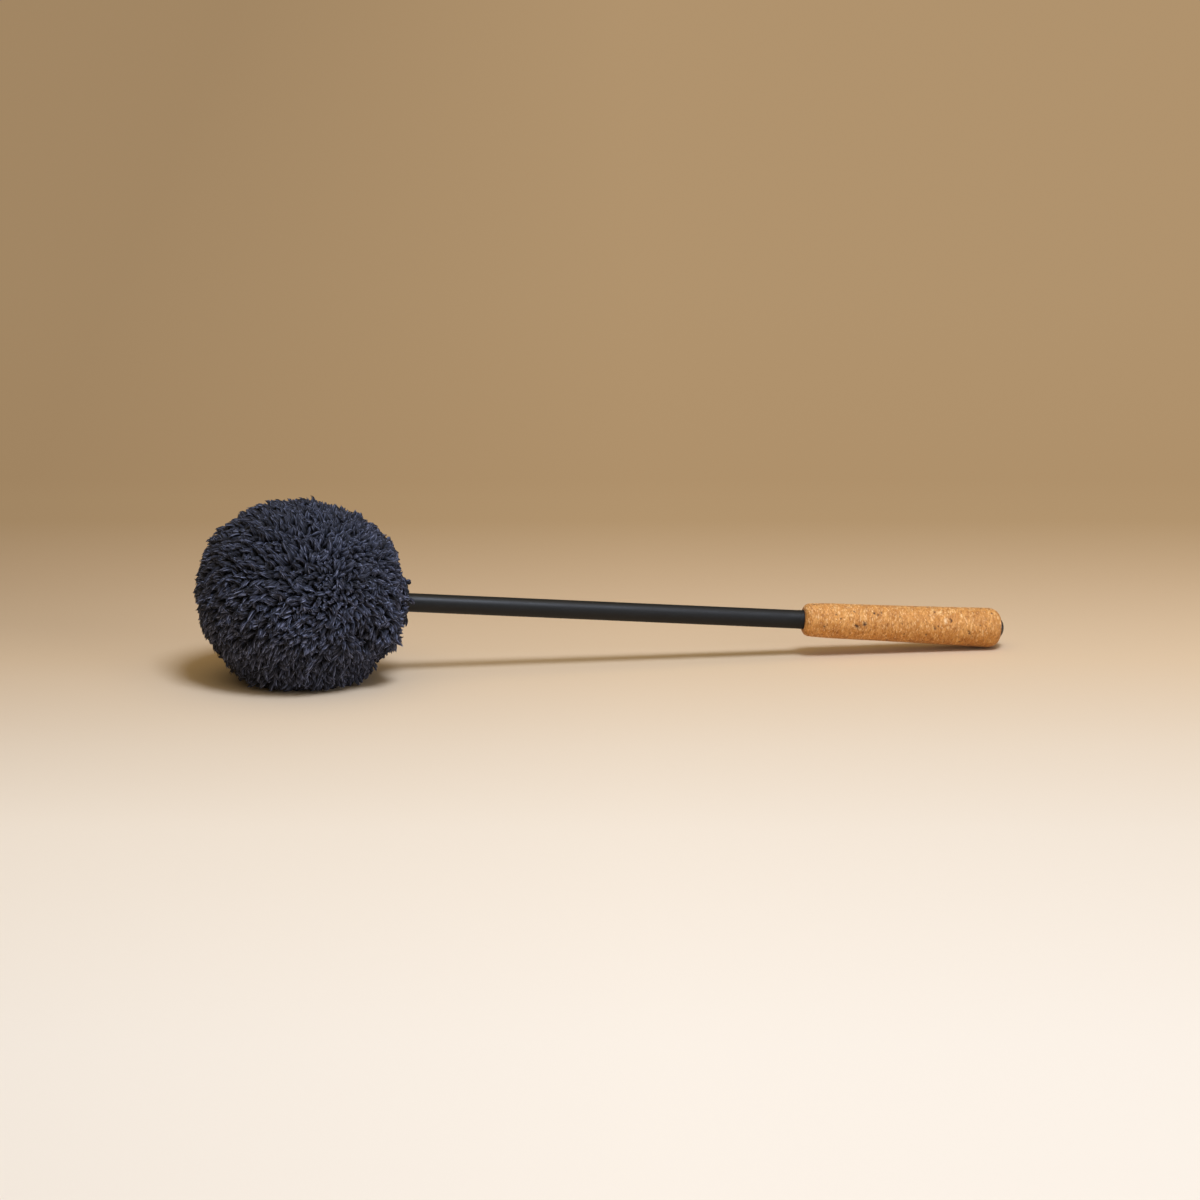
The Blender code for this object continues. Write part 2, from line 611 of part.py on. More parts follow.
def main():
    """Build every piece along the axis, then lay the mallet down."""
    clear_scene()
    fleece = finish("slate_fleece", (0.055, 0.065, 0.10), 0.95)
    thread = finish("waxed_thread", (0.05, 0.05, 0.06), 0.70)
    foam = finish("white_padding", (0.82, 0.80, 0.74), 0.95)
    wool_felt = finish("grey_felt", (0.45, 0.43, 0.40), 0.95)
    beech = finish("turned_beech", (0.62, 0.42, 0.25), 0.55)
    steel = finish("zinc_steel", (0.58, 0.59, 0.60), 0.35, 1.0)
    alloy = finish("turned_alloy", (0.72, 0.73, 0.74), 0.30, 1.0)
    brass = finish("brass", (0.70, 0.50, 0.20), 0.30, 1.0)
    satin = finish("black_satin_tube", (0.012, 0.012, 0.014), 0.38)
    cork = finish("pressed_cork", (0.52, 0.28, 0.12), 0.80)
    plastic = finish("black_plastic", (0.010, 0.010, 0.011), 0.22)

    frame = bpy.data.objects.new("mallet_axis", None)
    bpy.context.scene.collection.objects.link(frame)
    tilt = rest_tilt()

    fleece_cover(fleece, frame, tilt)
    neck_binding(thread, frame)
    padding(foam, frame)
    felt(wool_felt, frame)
    head_core(beech, frame)
    core_weight(steel, frame)
    stop_collar(alloy, frame)
    washers(steel, frame)
    core_screw(steel, frame)
    tube_insert(brass, frame)
    shaft_tube(satin, frame)
    cork_grip(cork, frame)
    butt_plug(plastic, frame)
    lay_down(frame, tilt)


main()
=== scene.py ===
"""Gong mallet dressed for its picture: deep pile, pressed cork, satin lacquer and the pieces inside.

Metres, +Z up. New pieces are modelled along the mallet's own axis, local +X with the head's centre at
the local origin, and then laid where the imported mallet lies.
"""

from collections import namedtuple
from functools import cache
from math import asin, atan2, cos, exp, hypot, pi, radians, sin, sqrt

import bmesh
import bpy
import numpy as np
from mathutils import Matrix, Vector, noise
from mathutils.bvhtree import BVHTree
from mathutils.kdtree import KDTree


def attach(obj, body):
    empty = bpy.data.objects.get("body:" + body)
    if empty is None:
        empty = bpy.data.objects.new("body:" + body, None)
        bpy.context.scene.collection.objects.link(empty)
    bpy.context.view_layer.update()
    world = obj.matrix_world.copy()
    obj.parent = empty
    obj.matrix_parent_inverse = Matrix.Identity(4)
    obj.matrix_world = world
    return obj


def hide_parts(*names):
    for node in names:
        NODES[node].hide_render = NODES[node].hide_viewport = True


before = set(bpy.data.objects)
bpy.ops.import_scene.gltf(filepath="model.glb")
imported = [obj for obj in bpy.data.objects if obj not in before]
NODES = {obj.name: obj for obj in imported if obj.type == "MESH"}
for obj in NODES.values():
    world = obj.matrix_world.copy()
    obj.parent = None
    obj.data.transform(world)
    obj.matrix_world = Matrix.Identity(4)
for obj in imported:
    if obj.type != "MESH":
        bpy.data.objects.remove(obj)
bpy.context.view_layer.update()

BODY = "root"
SEED = 20

# The golden angle, as a share of half a turn
GOLDEN = 3 - sqrt(5)

# View: a long lens, a little above the floor and turned slightly towards the head
VIEW_DISTANCE = 3.2
VIEW_AZIMUTH = radians(-10.47)
VIEW_ELEVATION = radians(13.6)
VIEW_LENS = 179.24
VIEW_SIDE = -0.00285
VIEW_RISE = 0.03458

# Studio: direction, distance, size, level and colour of the high lamp, of the weak one in front and of
# the wide warm one overhead, the share of the way to the head that they stand round, and the level and
# colour all round
LAMPS = (
    ((0.14, -0.44, 1.0), 2.4, 0.85, 45.0, (0.76, 0.88, 1.10)),
    ((0.62, -0.80, 0.30), 2.2, 1.4, 11.0, (0.94, 1.01, 1.13)),
    ((0.0, -0.10, 1.0), 2.5, 4.0, 29.0, (1.0, 0.77, 0.38)),
)
LAMPS_ROUND = 0.3
ROOM_LEVEL = 0.20
ROOM_COLOUR = (1.0, 0.81, 0.54)
BACKDROP = (0.458, 0.304, 0.160)
FLOOR_HALF = 14.0

# Head: the ball's outside with its pile, and the hollow for the padding
BALL_LENGTH = 0.056
BALL_RADIUS = 0.053
HOLLOW_LENGTH = 0.0442
HOLLOW_RADIUS = 0.0412
CLOTH_DEPTH = 0.0054
FLOOR_SKIN = 0.0012
FOOT_SPREAD = 0.0080
FOOT_HEIGHT = 0.018

# Neck: where the bag is drawn in, its waist under the thread and the hem behind it
SHOULDER_ANGLE = 30.0
SHOULDER_WIDTH = 13.0
SHOULDER_HEIGHT = 0.0031
DIMPLE_RADIUS = 0.0155
WAIST_START = 0.0455
WAIST_END = 0.05105
WAIST_RADIUS = 0.0083
WAIST_EDGE = 0.0001
HEM_LENGTH = 0.0050
HEM_SPREAD = 0.0022
NECK_CLEAR = 0.0053
PLEATS = 10
PLEAT_DEPTH = 0.0009
PLEAT_REACH = 0.030

# Cloth run that fills the bag out: its coarse net, how much smaller it starts, how far the neck and the
# foot hold it, its pressure and spare cloth, its steps and the most that a point may move
BAG_VOXEL = 0.004
BAG_SLACK = 0.0014
BAG_NECK = radians(16.0)
BAG_FOOT = 0.006
BAG_PRESSURE = 4.0
BAG_EASE = 0.03
BAG_STEPS = 20
BAG_CAP = 0.0012
BAG_BLEND = 0.0005

# Lumps of the head: direction from its centre, height, and width in degrees
LUMPS = (
    ((-0.41, 0.29, 0.87), 0.0006, 11.0), ((0.05, 0.23, 0.97), -0.0018, 18.0),
    ((0.48, 0.12, 0.87), -0.0024, 10.0), ((-0.58, 0.29, 0.75), -0.0010, 7.0),
    ((-0.94, 0.24, 0.25), 0.0003, 36.0), ((-0.77, 0.28, 0.56), 0.0018, 9.0),
    ((0.79, 0.0, 0.61), -0.0017, 10.0), ((-0.81, 0.0, -0.58), -0.0003, 13.0),
    ((0.80, -0.50, -0.33), 0.0042, 12.0),
)
CREASE_START = (0.50, -0.84, -0.23)
CREASE_END = (0.75, -0.05, -0.66)
CREASE_WIDTH = 0.075
CREASE_DEPTH = 0.0085

# Main tufts of the pile, and how far the pile drops in the valleys between them
TUFT_SPACING = 0.0105
TUFT_SCATTER = 0.0028
SCATTER_PITCH = 9.1
VALLEY_DEPTH = 0.0014

# How the pile lies: places on the head as seen, in ball radii to the right and up, and which way the
# tips point there, in degrees up from the right; then where it parts, where it stands upright, and where
# painted light makes it paler
COMBED = (
    (-0.64, 0.61, 165), (-0.45, 0.74, 150), (-0.09, 0.85, 118), (0.26, 0.75, 100), (0.57, 0.56, 55),
    (-0.78, 0.32, 178), (-0.40, 0.34, 178), (-0.09, 0.47, 128), (0.20, 0.42, 106), (0.42, 0.25, 75),
    (-0.82, 0.05, 205), (-0.50, 0.07, 198), (-0.14, 0.07, 186), (0.18, 0.06, 186), (0.45, 0.02, 200),
    (-0.64, -0.17, 212), (-0.23, -0.14, 200), (0.16, -0.15, 192), (0.16, -0.34, 190), (-0.16, -0.35, 212),
    (-0.78, -0.38, 240), (-0.45, -0.48, 252), (0.02, -0.50, 232), (-0.16, -0.64, 275), (0.45, -0.50, 268),
    (0.62, -0.20, 285), (0.80, 0.12, 322), (0.72, -0.42, 280), (0.73, 0.36, 0), (0.20, -0.75, 265),
)
COMB_WIDTH = radians(14.0)
CROWN = (0.35, -0.75, 0.56)
UPRIGHT = (0.60, -0.55, 0.58)
UPRIGHT_WIDTH = 28
# Painted light: a spot low on the right where the pile is made paler.
PAINTED_LIGHT = (0.48, -0.85, -0.22)
PAINTED_LIGHT_WIDTH = 30
NECK_CALM = radians(24.0)

# Pile: small tufts of locks, locks of fibres
LITTLE_TUFTS = 2900
LOCKS = 7600
HEM_LOCKS = 110
SEAT_JITTER = 0.012
LOCK_HEIGHT = 0.0045
LOCK_WIDTH = 0.0016
FIBRES = 6
FIBRE_POINTS = 5
BODY_WIDTH = 0.00116
FIBRE_WIDTH = 0.00032
BODY_TAPER = np.array([1.0, 1.05, 1.0, 0.68, 0.10])
FIBRE_TAPER = np.array([0.8, 1.0, 1.0, 0.80, 0.12])
LEAN = 0.90
CURL = 0.0008
GATHER = 0.70
MAIN_GATHER = 0.12
PRESSED_HEIGHT = 0.004
PILE_FLOOR = 0.0009
PILE_EASE = 0.0008
PILE_SECTORS = 10

# Tube: its chamfered ends and the rings of set glue where it enters the grip
TUBE_RADIUS = 0.005
TUBE_BORE = 0.0035
GLUE_RINGS = 3
GLUE_STEP = 0.0008
GLUE_HEIGHT = 0.00009

# Grip
GRIP_FRONT_RADIUS = 0.00865
GRIP_NECK_RADIUS = 0.0094
GRIP_BUTT_RADIUS = 0.0109
GRIP_SHOULDER = 0.020
GRIP_SWELL = 1.7
GRIP_FRONT_EDGE = 0.0040
GRIP_FRONT_LENGTH = 0.0036
GRIP_BORE = 0.0053
GRIP_STEP = 0.00042
GRIP_SEGMENTS = 160
BUTT_LAND = 0.0002
BUTT_LENGTH = 0.0064
GRAIN = 0.00007
FINE_GRAIN = 1700

# Pits in the cork: place along the grip, degrees up from the side in view, radius and depth
PITS = (
    (0.0321, 6, 0.00110, 0.00070), (0.0281, -2, 0.00095, 0.00060), (0.0270, 1, 0.00055, 0.00040),
    (0.0413, 49, 0.00060, 0.00045), (0.0393, 40, 0.00055, 0.00035), (0.0374, 46, 0.00070, 0.00040),
    (0.0188, 22, 0.00050, 0.00030), (0.0163, 35, 0.00050, 0.00030), (0.0100, -8, 0.00045, 0.00030),
    (0.0710, 3, 0.00065, 0.00045), (0.0903, -7, 0.00060, 0.00045), (0.0899, -1, 0.00045, 0.00035),
    (0.1029, 60, 0.00055, 0.00040), (0.0960, 18, 0.00040, 0.00030), (0.0726, 10, 0.00040, 0.00030),
    (0.0545, -21, 0.00045, 0.00030), (0.0664, -19, 0.00045, 0.00030), (0.0445, -31, 0.00040, 0.00030),
    (0.0525, 14, 0.00035, 0.00025), (0.0514, 36, 0.00040, 0.00030), (0.0710, 59, 0.00045, 0.00030),
    (0.0263, 49, 0.00040, 0.00030),
)
PIT_REACH = 0.0022
HIDDEN_PITS = 70
CHIP_ALONG = 0.0780
CHIP_TURN = radians(29.0)
CHIP_LENGTH = 0.0024
CHIP_WIDTH = 0.0018
CHIP_DEPTH = 0.0006
CHIP_REACH = 0.004

# Butt plug
PLUG_FLANGE = 0.00165
PLUG_DOME = 0.0020
PLUG_CLEAR = 0.0003

# Thread of two plies round the waist
THREAD_RADIUS = 0.00045
PLY_RADIUS = 0.00024
PLY_TWIST = 0.0022
THREAD_TURNS = 3
THREAD_CLEAR = 0.0003


# Where the mallet lies


def corners(name):
    """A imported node's corner points, one row each."""
    return np.array([vertex.co for vertex in NODES[name].data.vertices])


def middle_of(points):
    """The middle of the box round some points."""
    return Vector((points.min(axis=0) + points.max(axis=0)) / 2)


def mallet_seat():
    """The matrix that lays the mallet's own axis, with the head's centre at its origin, in its place."""
    tube = corners("shaft_tube")
    halfway = tube[:, 0].mean()
    front = middle_of(tube[tube[:, 0] < halfway])
    rear = middle_of(tube[tube[:, 0] > halfway])
    along = (rear - front).normalized()
    side = Vector((0.0, 1.0, 0.0))
    seat = Matrix((along, side, along.cross(side))).transposed().to_4x4()
    seat.translation = middle_of(corners("felt_band"))
    return seat


SEAT = mallet_seat()
TURN = SEAT.to_3x3()
AXIS, SIDE, UP = (TURN.col[index].copy() for index in range(3))
HEAD = SEAT.translation.copy()


def reach(name):
    """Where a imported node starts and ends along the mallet's axis."""
    along = [(Vector(point) - HEAD).dot(AXIS) for point in corners(name)]
    return min(along), max(along)


def view_axes():
    """Right and up as the camera sees them, and the direction from the mallet to the camera."""
    right = Vector((cos(VIEW_AZIMUTH), sin(VIEW_AZIMUTH), 0.0))
    level = cos(VIEW_ELEVATION)
    toward = Vector((sin(VIEW_AZIMUTH) * level, -cos(VIEW_AZIMUTH) * level, sin(VIEW_ELEVATION)))
    return right, toward.cross(right), toward


# Studio


def stand(name, data):
    """A new object in the scene."""
    thing = bpy.data.objects.new(name, data)
    bpy.context.scene.collection.objects.link(thing)
    return thing


def aim(thing, place, direction):
    """Put a lamp or a camera in a place from where it looks back along a direction."""
    thing.location = place
    thing.rotation_euler = (-direction).to_track_quat("-Z", "Y").to_euler()


def camera():
    """The photograph's camera, and colours shown as they are written."""
    right, rise, toward = view_axes()
    lens = bpy.data.cameras.new("camera")
    lens.lens = VIEW_LENS
    lens.clip_end = 100.0
    thing = stand("camera", lens)
    aim(thing, VIEW_SIDE * right + VIEW_RISE * rise + VIEW_DISTANCE * toward, toward)
    bpy.context.scene.camera = thing
    bpy.context.scene.view_settings.view_transform = "Standard"


def lamps():
    """Three soft lamps: a high one, a weak one in front and to the right, and a wide one overhead."""
    for bearing, distance, size, power, colour in LAMPS:
        direction = Vector(bearing).normalized()
        light = bpy.data.lights.new("soft_lamp", "AREA")
        light.shape = "DISK"
        light.size = size
        light.energy = power
        light.color = colour
        aim(stand("soft_lamp", light), HEAD * LAMPS_ROUND + direction * distance, direction)


def sweep(paper):
    """The pale floor."""
    shape = bmesh.new()
    bmesh.ops.create_grid(shape, x_segments=8, y_segments=8, size=FLOOR_HALF)
    floor = stand("studio_floor", mesh_of("studio_floor", shape, paper))


def room():
    """Plain light from all round; the camera sees the sweep's tan instead."""
    world = bpy.data.worlds.new("studio")
    bpy.context.scene.world = world
    world.use_nodes = True
    nodes = Nodes(world.node_tree)
    glow = nodes.tree.nodes["Background"]
    fill(glow, Color=(*ROOM_COLOUR, 1.0), Strength=ROOM_LEVEL)
    shown = nodes.out("Background", Color=(*BACKDROP, 1.0), Strength=1.0)
    seen = nodes.add("LightPath").outputs["Is Camera Ray"]
    fill(nodes.tree.nodes["World Output"], Surface=nodes.out("MixShader", seen, glow.outputs[0], shown))


# Nodes


def put(value, socket):
    """Join a socket to an input, or set the input to a plain value."""
    if isinstance(value, bpy.types.NodeSocket):
        socket.id_data.links.new(value, socket)
    else:
        socket.default_value = value


def fill(node, **inputs):
    """Give a node its inputs by name, with _ where the name has a space."""
    for name, value in inputs.items():
        put(value, node.inputs[name.replace("_", " ")])


class Nodes:
    """A node tree, and short ways to add to it."""

    def __init__(self, tree):
        self.tree = tree

    def add(self, kind, *inputs, **named):
        """A new node, its inputs given in order or by name. A name in small letters is a setting."""
        node = self.tree.nodes.new("ShaderNode" + kind)
        for name, value in named.items():
            if name.islower():
                setattr(node, name, value)
        for index, value in enumerate(inputs):
            put(value, node.inputs[index])
        fill(node, **{name: value for name, value in named.items() if not name.islower()})
        return node

    def out(self, kind, *inputs, **named):
        """What a new node puts out first."""
        return self.add(kind, *inputs, **named).outputs[0]

    def math(self, operation, *values):
        """The result of one sum."""
        return self.out("Math", *values, operation=operation)

    def spread(self, value, low, high, to_low=0.0, to_high=1.0):
        """A value taken from one range to another, and held inside it."""
        return self.out("MapRange", value, low, high, to_low, to_high)

    def ramp(self, value, *stops):
        """Colours over a value, from (place, (red, green, blue)) stops."""
        made = self.add("ValToRGB", value)
        band = made.color_ramp.elements
        while len(band) < len(stops):
            band.new(1.0)
        for element, (place, colour) in zip(band, stops):
            element.position = place
            element.color = (*colour, 1.0)
        return made.outputs[0]

    def tint(self, factor, first, second, mode="MIX"):
        """Two colours mixed by a factor."""
        made = self.add("Mix", factor, data_type="RGBA", blend_type=mode)
        for colour, socket in ((first, made.inputs[6]), (second, made.inputs[7])):
            put(colour if isinstance(colour, bpy.types.NodeSocket) else (*colour, 1.0), socket)
        return made.outputs[2]

    def stain(self, colour, mask, share, shade):
        """A colour with a share of another where a mask shows."""
        return self.tint(self.math("MULTIPLY", mask, share), colour, shade)

    def stretched(self, place, scale):
        """Coordinates with each part multiplied by its own number."""
        return self.out("Mapping", Vector=place, Scale=scale)

    def bump(self, height, distance):
        """The surface's shading raised by a height, whose full range is a distance in metres."""
        return self.out("Bump", Height=height, Distance=distance, Strength=1.0)

    def use(self, group, *inputs):
        """What a shared effect puts out first, with this material's own values."""
        return self.out("Group", *inputs, node_tree=group)


class Finish(Nodes):
    """A new material with one Principled shader."""

    def __init__(self, name):
        self.material = bpy.data.materials.new(name)
        self.material.use_nodes = True
        super().__init__(self.material.node_tree)
        self.shader = self.tree.nodes["Principled BSDF"]

    def place(self):
        """Where a point of the surface is, in the scene's own coordinates."""
        return self.add("TexCoord").outputs["Object"]

    def laid(self):
        """The same along the mallet's axis, with how far along it is and how far out."""
        return self.add("Group", self.place(), node_tree=mallet_frame()).outputs

    def done(self, **inputs):
        """Give the shader its inputs; returns the material."""
        fill(self.shader, **inputs)
        return self.material


# Effects that several finishes share


def effect(name, inputs, outputs):
    """An empty node group; returns it, what comes into it and what goes out."""
    group = bpy.data.node_groups.new(name, "ShaderNodeTree")
    for way, labels in (("INPUT", inputs), ("OUTPUT", outputs)):
        for label in labels.split():
            kind = "NodeSocketVector" if label == "Place" else "NodeSocketFloat"
            group.interface.new_socket(label, in_out=way, socket_type=kind)
    return Nodes(group), group.nodes.new("NodeGroupInput").outputs, group.nodes.new("NodeGroupOutput")


@cache
def mallet_frame():
    """Coordinates along the mallet's axis, to its side and up, with the head's centre at zero."""
    inner, given, result = effect("mallet_frame", "Place", "Place Along Radius")
    offset = inner.out("VectorMath", given["Place"], HEAD, operation="SUBTRACT")
    parts = [inner.add("VectorMath", offset, way, operation="DOT_PRODUCT").outputs["Value"]
             for way in (AXIS, SIDE, UP)]
    squares = [inner.math("POWER", inner.math("ABSOLUTE", part), 2.0) for part in parts[1:]]
    fill(result, Place=inner.out("CombineXYZ", *parts), Along=parts[0],
         Radius=inner.math("SQRT", inner.math("ADD", *squares)))
    return inner.tree


@cache
def mottling():
    """Soft uneven patches of a given size, from 0 to 1."""
    inner, given, result = effect("mottling", "Place Size Contrast", "Value")
    cloud = inner.out("TexNoise", Vector=given["Place"], Scale=inner.math("DIVIDE", 1.0, given["Size"]),
                      Detail=3.0, Roughness=0.55)
    steep = inner.math("MULTIPLY", given["Contrast"], 3.0)
    scaled = inner.math("MULTIPLY_ADD", inner.math("SUBTRACT", cloud, 0.5), steep, 0.5)
    fill(result, Value=inner.spread(scaled, 0.0, 1.0))
    return inner.tree


@cache
def strands():
    """Tangled fibres of a given size: 1 on a fibre, 0 between fibres."""
    inner, given, result = effect("strands", "Place Size", "Value")
    tangle = inner.out("TexNoise", Vector=given["Place"], Scale=inner.math("DIVIDE", 1.0, given["Size"]),
                       Detail=2.0, Roughness=0.6, Distortion=2.2)
    ridge = inner.math("ABSOLUTE", inner.math("SUBTRACT", tangle, 0.5))
    fill(result, Value=inner.spread(ridge, 0.10, 0.0))
    return inner.tree


@cache
def turning_marks():
    """Fine grooves round the axis, as a lathe tool leaves them, from 0 to 1."""
    inner, given, result = effect("turning_marks", "Along Radius Pitch", "Value")
    travel = inner.math("ADD", given["Along"], given["Radius"])
    turns = inner.math("DIVIDE", travel, given["Pitch"])
    slow = inner.math("MULTIPLY", turns, 0.13)
    uneven = inner.out("TexNoise", W=slow, Scale=1.0, noise_dimensions="1D")
    wave = inner.math("SINE", inner.math("MULTIPLY", turns, 2 * pi))
    fill(result, Value=inner.spread(inner.math("MULTIPLY", wave, uneven), -0.7, 0.7))
    return inner.tree


@cache
def handling():
    """Faint smears and hair scratches of use: 0 where clean, 1 where worn."""
    inner, given, result = effect("handling", "Place Size", "Value")
    scale = inner.math("DIVIDE", 1.0, given["Size"])
    smear = inner.out("TexNoise", Vector=inner.stretched(given["Place"], (0.35, 1.0, 1.0)), Scale=scale,
                      Detail=4.0)
    hairs = inner.out("TexNoise", Vector=inner.stretched(given["Place"], (0.6, 9.0, 9.0)), Scale=scale,
                      Detail=1.0, Distortion=0.6)
    thin = inner.spread(inner.math("ABSOLUTE", inner.math("SUBTRACT", hairs, 0.5)), 0.02, 0.0)
    both = inner.math("MULTIPLY_ADD", thin, 0.35, inner.spread(smear, 0.40, 0.75))
    fill(result, Value=inner.spread(both, 0.0, 1.0))
    return inner.tree


# Finishes


def paper_finish():
    """The sweep's paper, with painted shade: its tone falls off behind the mallet and towards both sides,
    as the light does where the sweep rises, and far behind it glows in that tone for camera and reflection
    rays.
    """
    paper = Finish("studio_paper")
    turned_place = paper.out("Mapping", Vector=paper.place(), Rotation=(0.0, 0.0, -VIEW_AZIMUTH))
    side, back, _ = paper.add("SeparateXYZ", turned_place).outputs
    depth = paper.spread(back, -0.85, 1.15)
    tone = paper.ramp(
        depth,
        (0.094, (0.855, 0.774, 0.676)), (0.262, (0.836, 0.735, 0.616)), (0.338, (0.793, 0.666, 0.525)),
        (0.431, (0.725, 0.550, 0.372)), (0.538, (0.567, 0.399, 0.240)), (0.599, (0.472, 0.314, 0.166)),
        (0.656, (0.450, 0.295, 0.153)), (0.95, BACKDROP),
    )
    # Painted shade towards both sides.
    left, right = (
        paper.math("MULTIPLY", paper.spread(side, 0.02, edge), paper.spread(depth, 0.27, 0.47, *falls))
        for edge, *falls in ((-0.35, 0.02, 0.17), (0.35, 0.06, 0.0))
    )
    across = paper.math("SUBTRACT", 0.955, paper.math("ADD", left, right))
    colour = paper.tint(1.0, tone, paper.out("CombineXYZ", across, across, across), "MULTIPLY")
    # A glow that is no lamp: far behind, camera and reflection rays see the painted tone.
    path = paper.add("LightPath").outputs
    seen = paper.math("MAXIMUM", path["Is Camera Ray"], path["Is Glossy Ray"])
    beyond = paper.math("MULTIPLY", seen, paper.spread(back, 0.18, 0.40))
    mixed = paper.out("MixShader", beyond, paper.shader.outputs[0], paper.out("Emission", Color=colour))
    fill(paper.tree.nodes["Material Output"], Surface=mixed)
    return paper.done(Base_Color=colour, Roughness=0.9, Specular_IOR_Level=0.1)


def pile_finish():
    """Slate blue fibre with painted shade, dark at the root and paler at the tip; a little different from
    lock to lock, partly through painted light and shade.
    """
    fibre = Finish("slate_pile")
    along, across, _ = fibre.add("SeparateXYZ", fibre.out("UVMap", uv_map="OFBake")).outputs
    # Painted shade: the fibre is darkened from its tip to its root.
    length = fibre.ramp(along, (0.0, (0.004, 0.005, 0.009)), (0.35, (0.017, 0.020, 0.036)),
                        (0.75, (0.076, 0.087, 0.142)), (1.0, (0.150, 0.168, 0.255)))
    shade = fibre.ramp(across, (0.0, (0.48, 0.47, 0.47)), (0.5, (0.98, 0.98, 0.98)),
                       (1.0, (1.86, 1.82, 1.78)))
    return fibre.done(Base_Color=fibre.tint(1.0, length, shade, "MULTIPLY"), Roughness=0.7,
                      Specular_IOR_Level=0.30)


def backing_finish():
    """Knitted backing under the pile, made near black as painted shade there: fine loops."""
    knit = Finish("knitted_backing")
    loops = knit.out("TexVoronoi", Vector=knit.place(), Scale=900.0)
    # Painted shade: the backing is as dark as the pile's roots.
    colour = knit.ramp(loops, (0.0, (0.016, 0.018, 0.027)), (0.7, (0.004, 0.004, 0.007)))
    return knit.done(Base_Color=colour, Roughness=0.9, Normal=knit.bump(loops, 0.0004))


def thread_finish():
    """Waxed black thread: fine fibres with a dull shine."""
    thread = Finish("waxed_thread")
    fibre = thread.use(strands(), thread.place(), 0.0004)
    colour = thread.ramp(fibre, (0.0, (0.018, 0.018, 0.022)), (1.0, (0.060, 0.060, 0.070)))
    return thread.done(Base_Color=colour, Roughness=0.55, Normal=thread.bump(fibre, 0.00004))


def fibre_finish(name, low, high, flecks, size):
    """Matted fibres, for the white filling and the grey felt."""
    mat = Finish(name)
    place = mat.place()
    fibre = mat.use(strands(), place, size)
    patch = mat.use(mottling(), place, size * 6, 1.0)
    colour = mat.stain(mat.ramp(fibre, (0.0, low), (1.0, high)), patch, 0.35, flecks)
    return mat.done(Base_Color=colour, Roughness=0.95,
                    Normal=mat.bump(mat.math("MULTIPLY_ADD", patch, 0.6, fibre), size * 0.3))


def beech_finish():
    """Turned beech: growth rings, short dark rays and faint tool marks."""
    wood = Finish("turned_beech")
    place, along, radius = wood.laid()
    wander = wood.out("TexNoise", Vector=wood.stretched(place, (12.0, 60.0, 60.0)), Scale=1.0, Detail=2.0)
    rings = wood.add("TexWave", Vector=wood.stretched(place, (1.0, 9.0, 40.0)), Scale=1.6, Distortion=3.0,
                     Detail=2.0, Detail_Scale=1.5, wave_type="BANDS", bands_direction="Z").outputs["Fac"]
    rays = wood.use(mottling(), wood.stretched(place, (0.12, 1.0, 1.0)), 0.0007, 1.3)
    colour = wood.ramp(rings, (0.0, (0.50, 0.31, 0.17)), (0.6, (0.64, 0.44, 0.27)),
                       (1.0, (0.70, 0.50, 0.32)))
    colour = wood.stain(colour, rays, 0.30, (0.40, 0.22, 0.11))
    colour = wood.stain(colour, wander, 0.25, (0.66, 0.42, 0.26))
    marks = wood.use(turning_marks(), along, radius, 0.0006)
    return wood.done(Base_Color=colour, Roughness=0.5,
                     Normal=wood.bump(wood.math("MULTIPLY_ADD", rays, 0.4, marks), 0.00005))


def metal_finish(name, colour, dull, pitch, roughness):
    """Turned metal: tool marks, and dull patches where it was handled."""
    metal = Finish(name)
    place, along, radius = metal.laid()
    marks = metal.use(turning_marks(), along, radius, pitch)
    worn = metal.use(handling(), place, 0.004)
    return metal.done(Base_Color=metal.stain(colour, worn, 0.7, dull), Metallic=1.0,
                      Roughness=metal.spread(worn, 0.0, 1.0, roughness, roughness + 0.25),
                      Normal=metal.bump(marks, 0.00003))


def lacquer_finish():
    """Black satin lacquer on the tube: a little wavy, and duller towards the grip, where hands rub it."""
    lacquer = Finish("satin_lacquer")
    place, along, _ = lacquer.laid()
    worn = lacquer.use(handling(), place, 0.006)
    skin = lacquer.use(mottling(), place, 0.0011, 0.7)
    colour = lacquer.ramp(worn, (0.0, (0.0026, 0.0029, 0.0037)), (1.0, (0.0050, 0.0050, 0.0058)))
    rubbed = lacquer.spread(along, *reach("shaft_tube"), 0.0, 0.24)
    dulled = lacquer.math("ADD", rubbed, lacquer.spread(worn, 0.0, 1.0, 0.40, 0.47))
    return lacquer.done(Base_Color=colour, Roughness=dulled, Specular_IOR_Level=0.34,
                        Normal=lacquer.bump(skin, 0.000006))


def moulding_finish():
    """Black moulded plastic of the plug: glossy, with faint swirls."""
    moulding = Finish("black_moulding")
    place, along, radius = moulding.laid()
    worn = moulding.use(handling(), place, 0.003)
    rings = moulding.use(turning_marks(), along, radius, 0.0004)
    colour = moulding.ramp(worn, (0.0, (0.006, 0.006, 0.007)), (1.0, (0.014, 0.014, 0.015)))
    return moulding.done(Base_Color=colour, Roughness=moulding.spread(worn, 0.0, 1.0, 0.20, 0.34),
                         Normal=moulding.bump(rings, 0.000008))


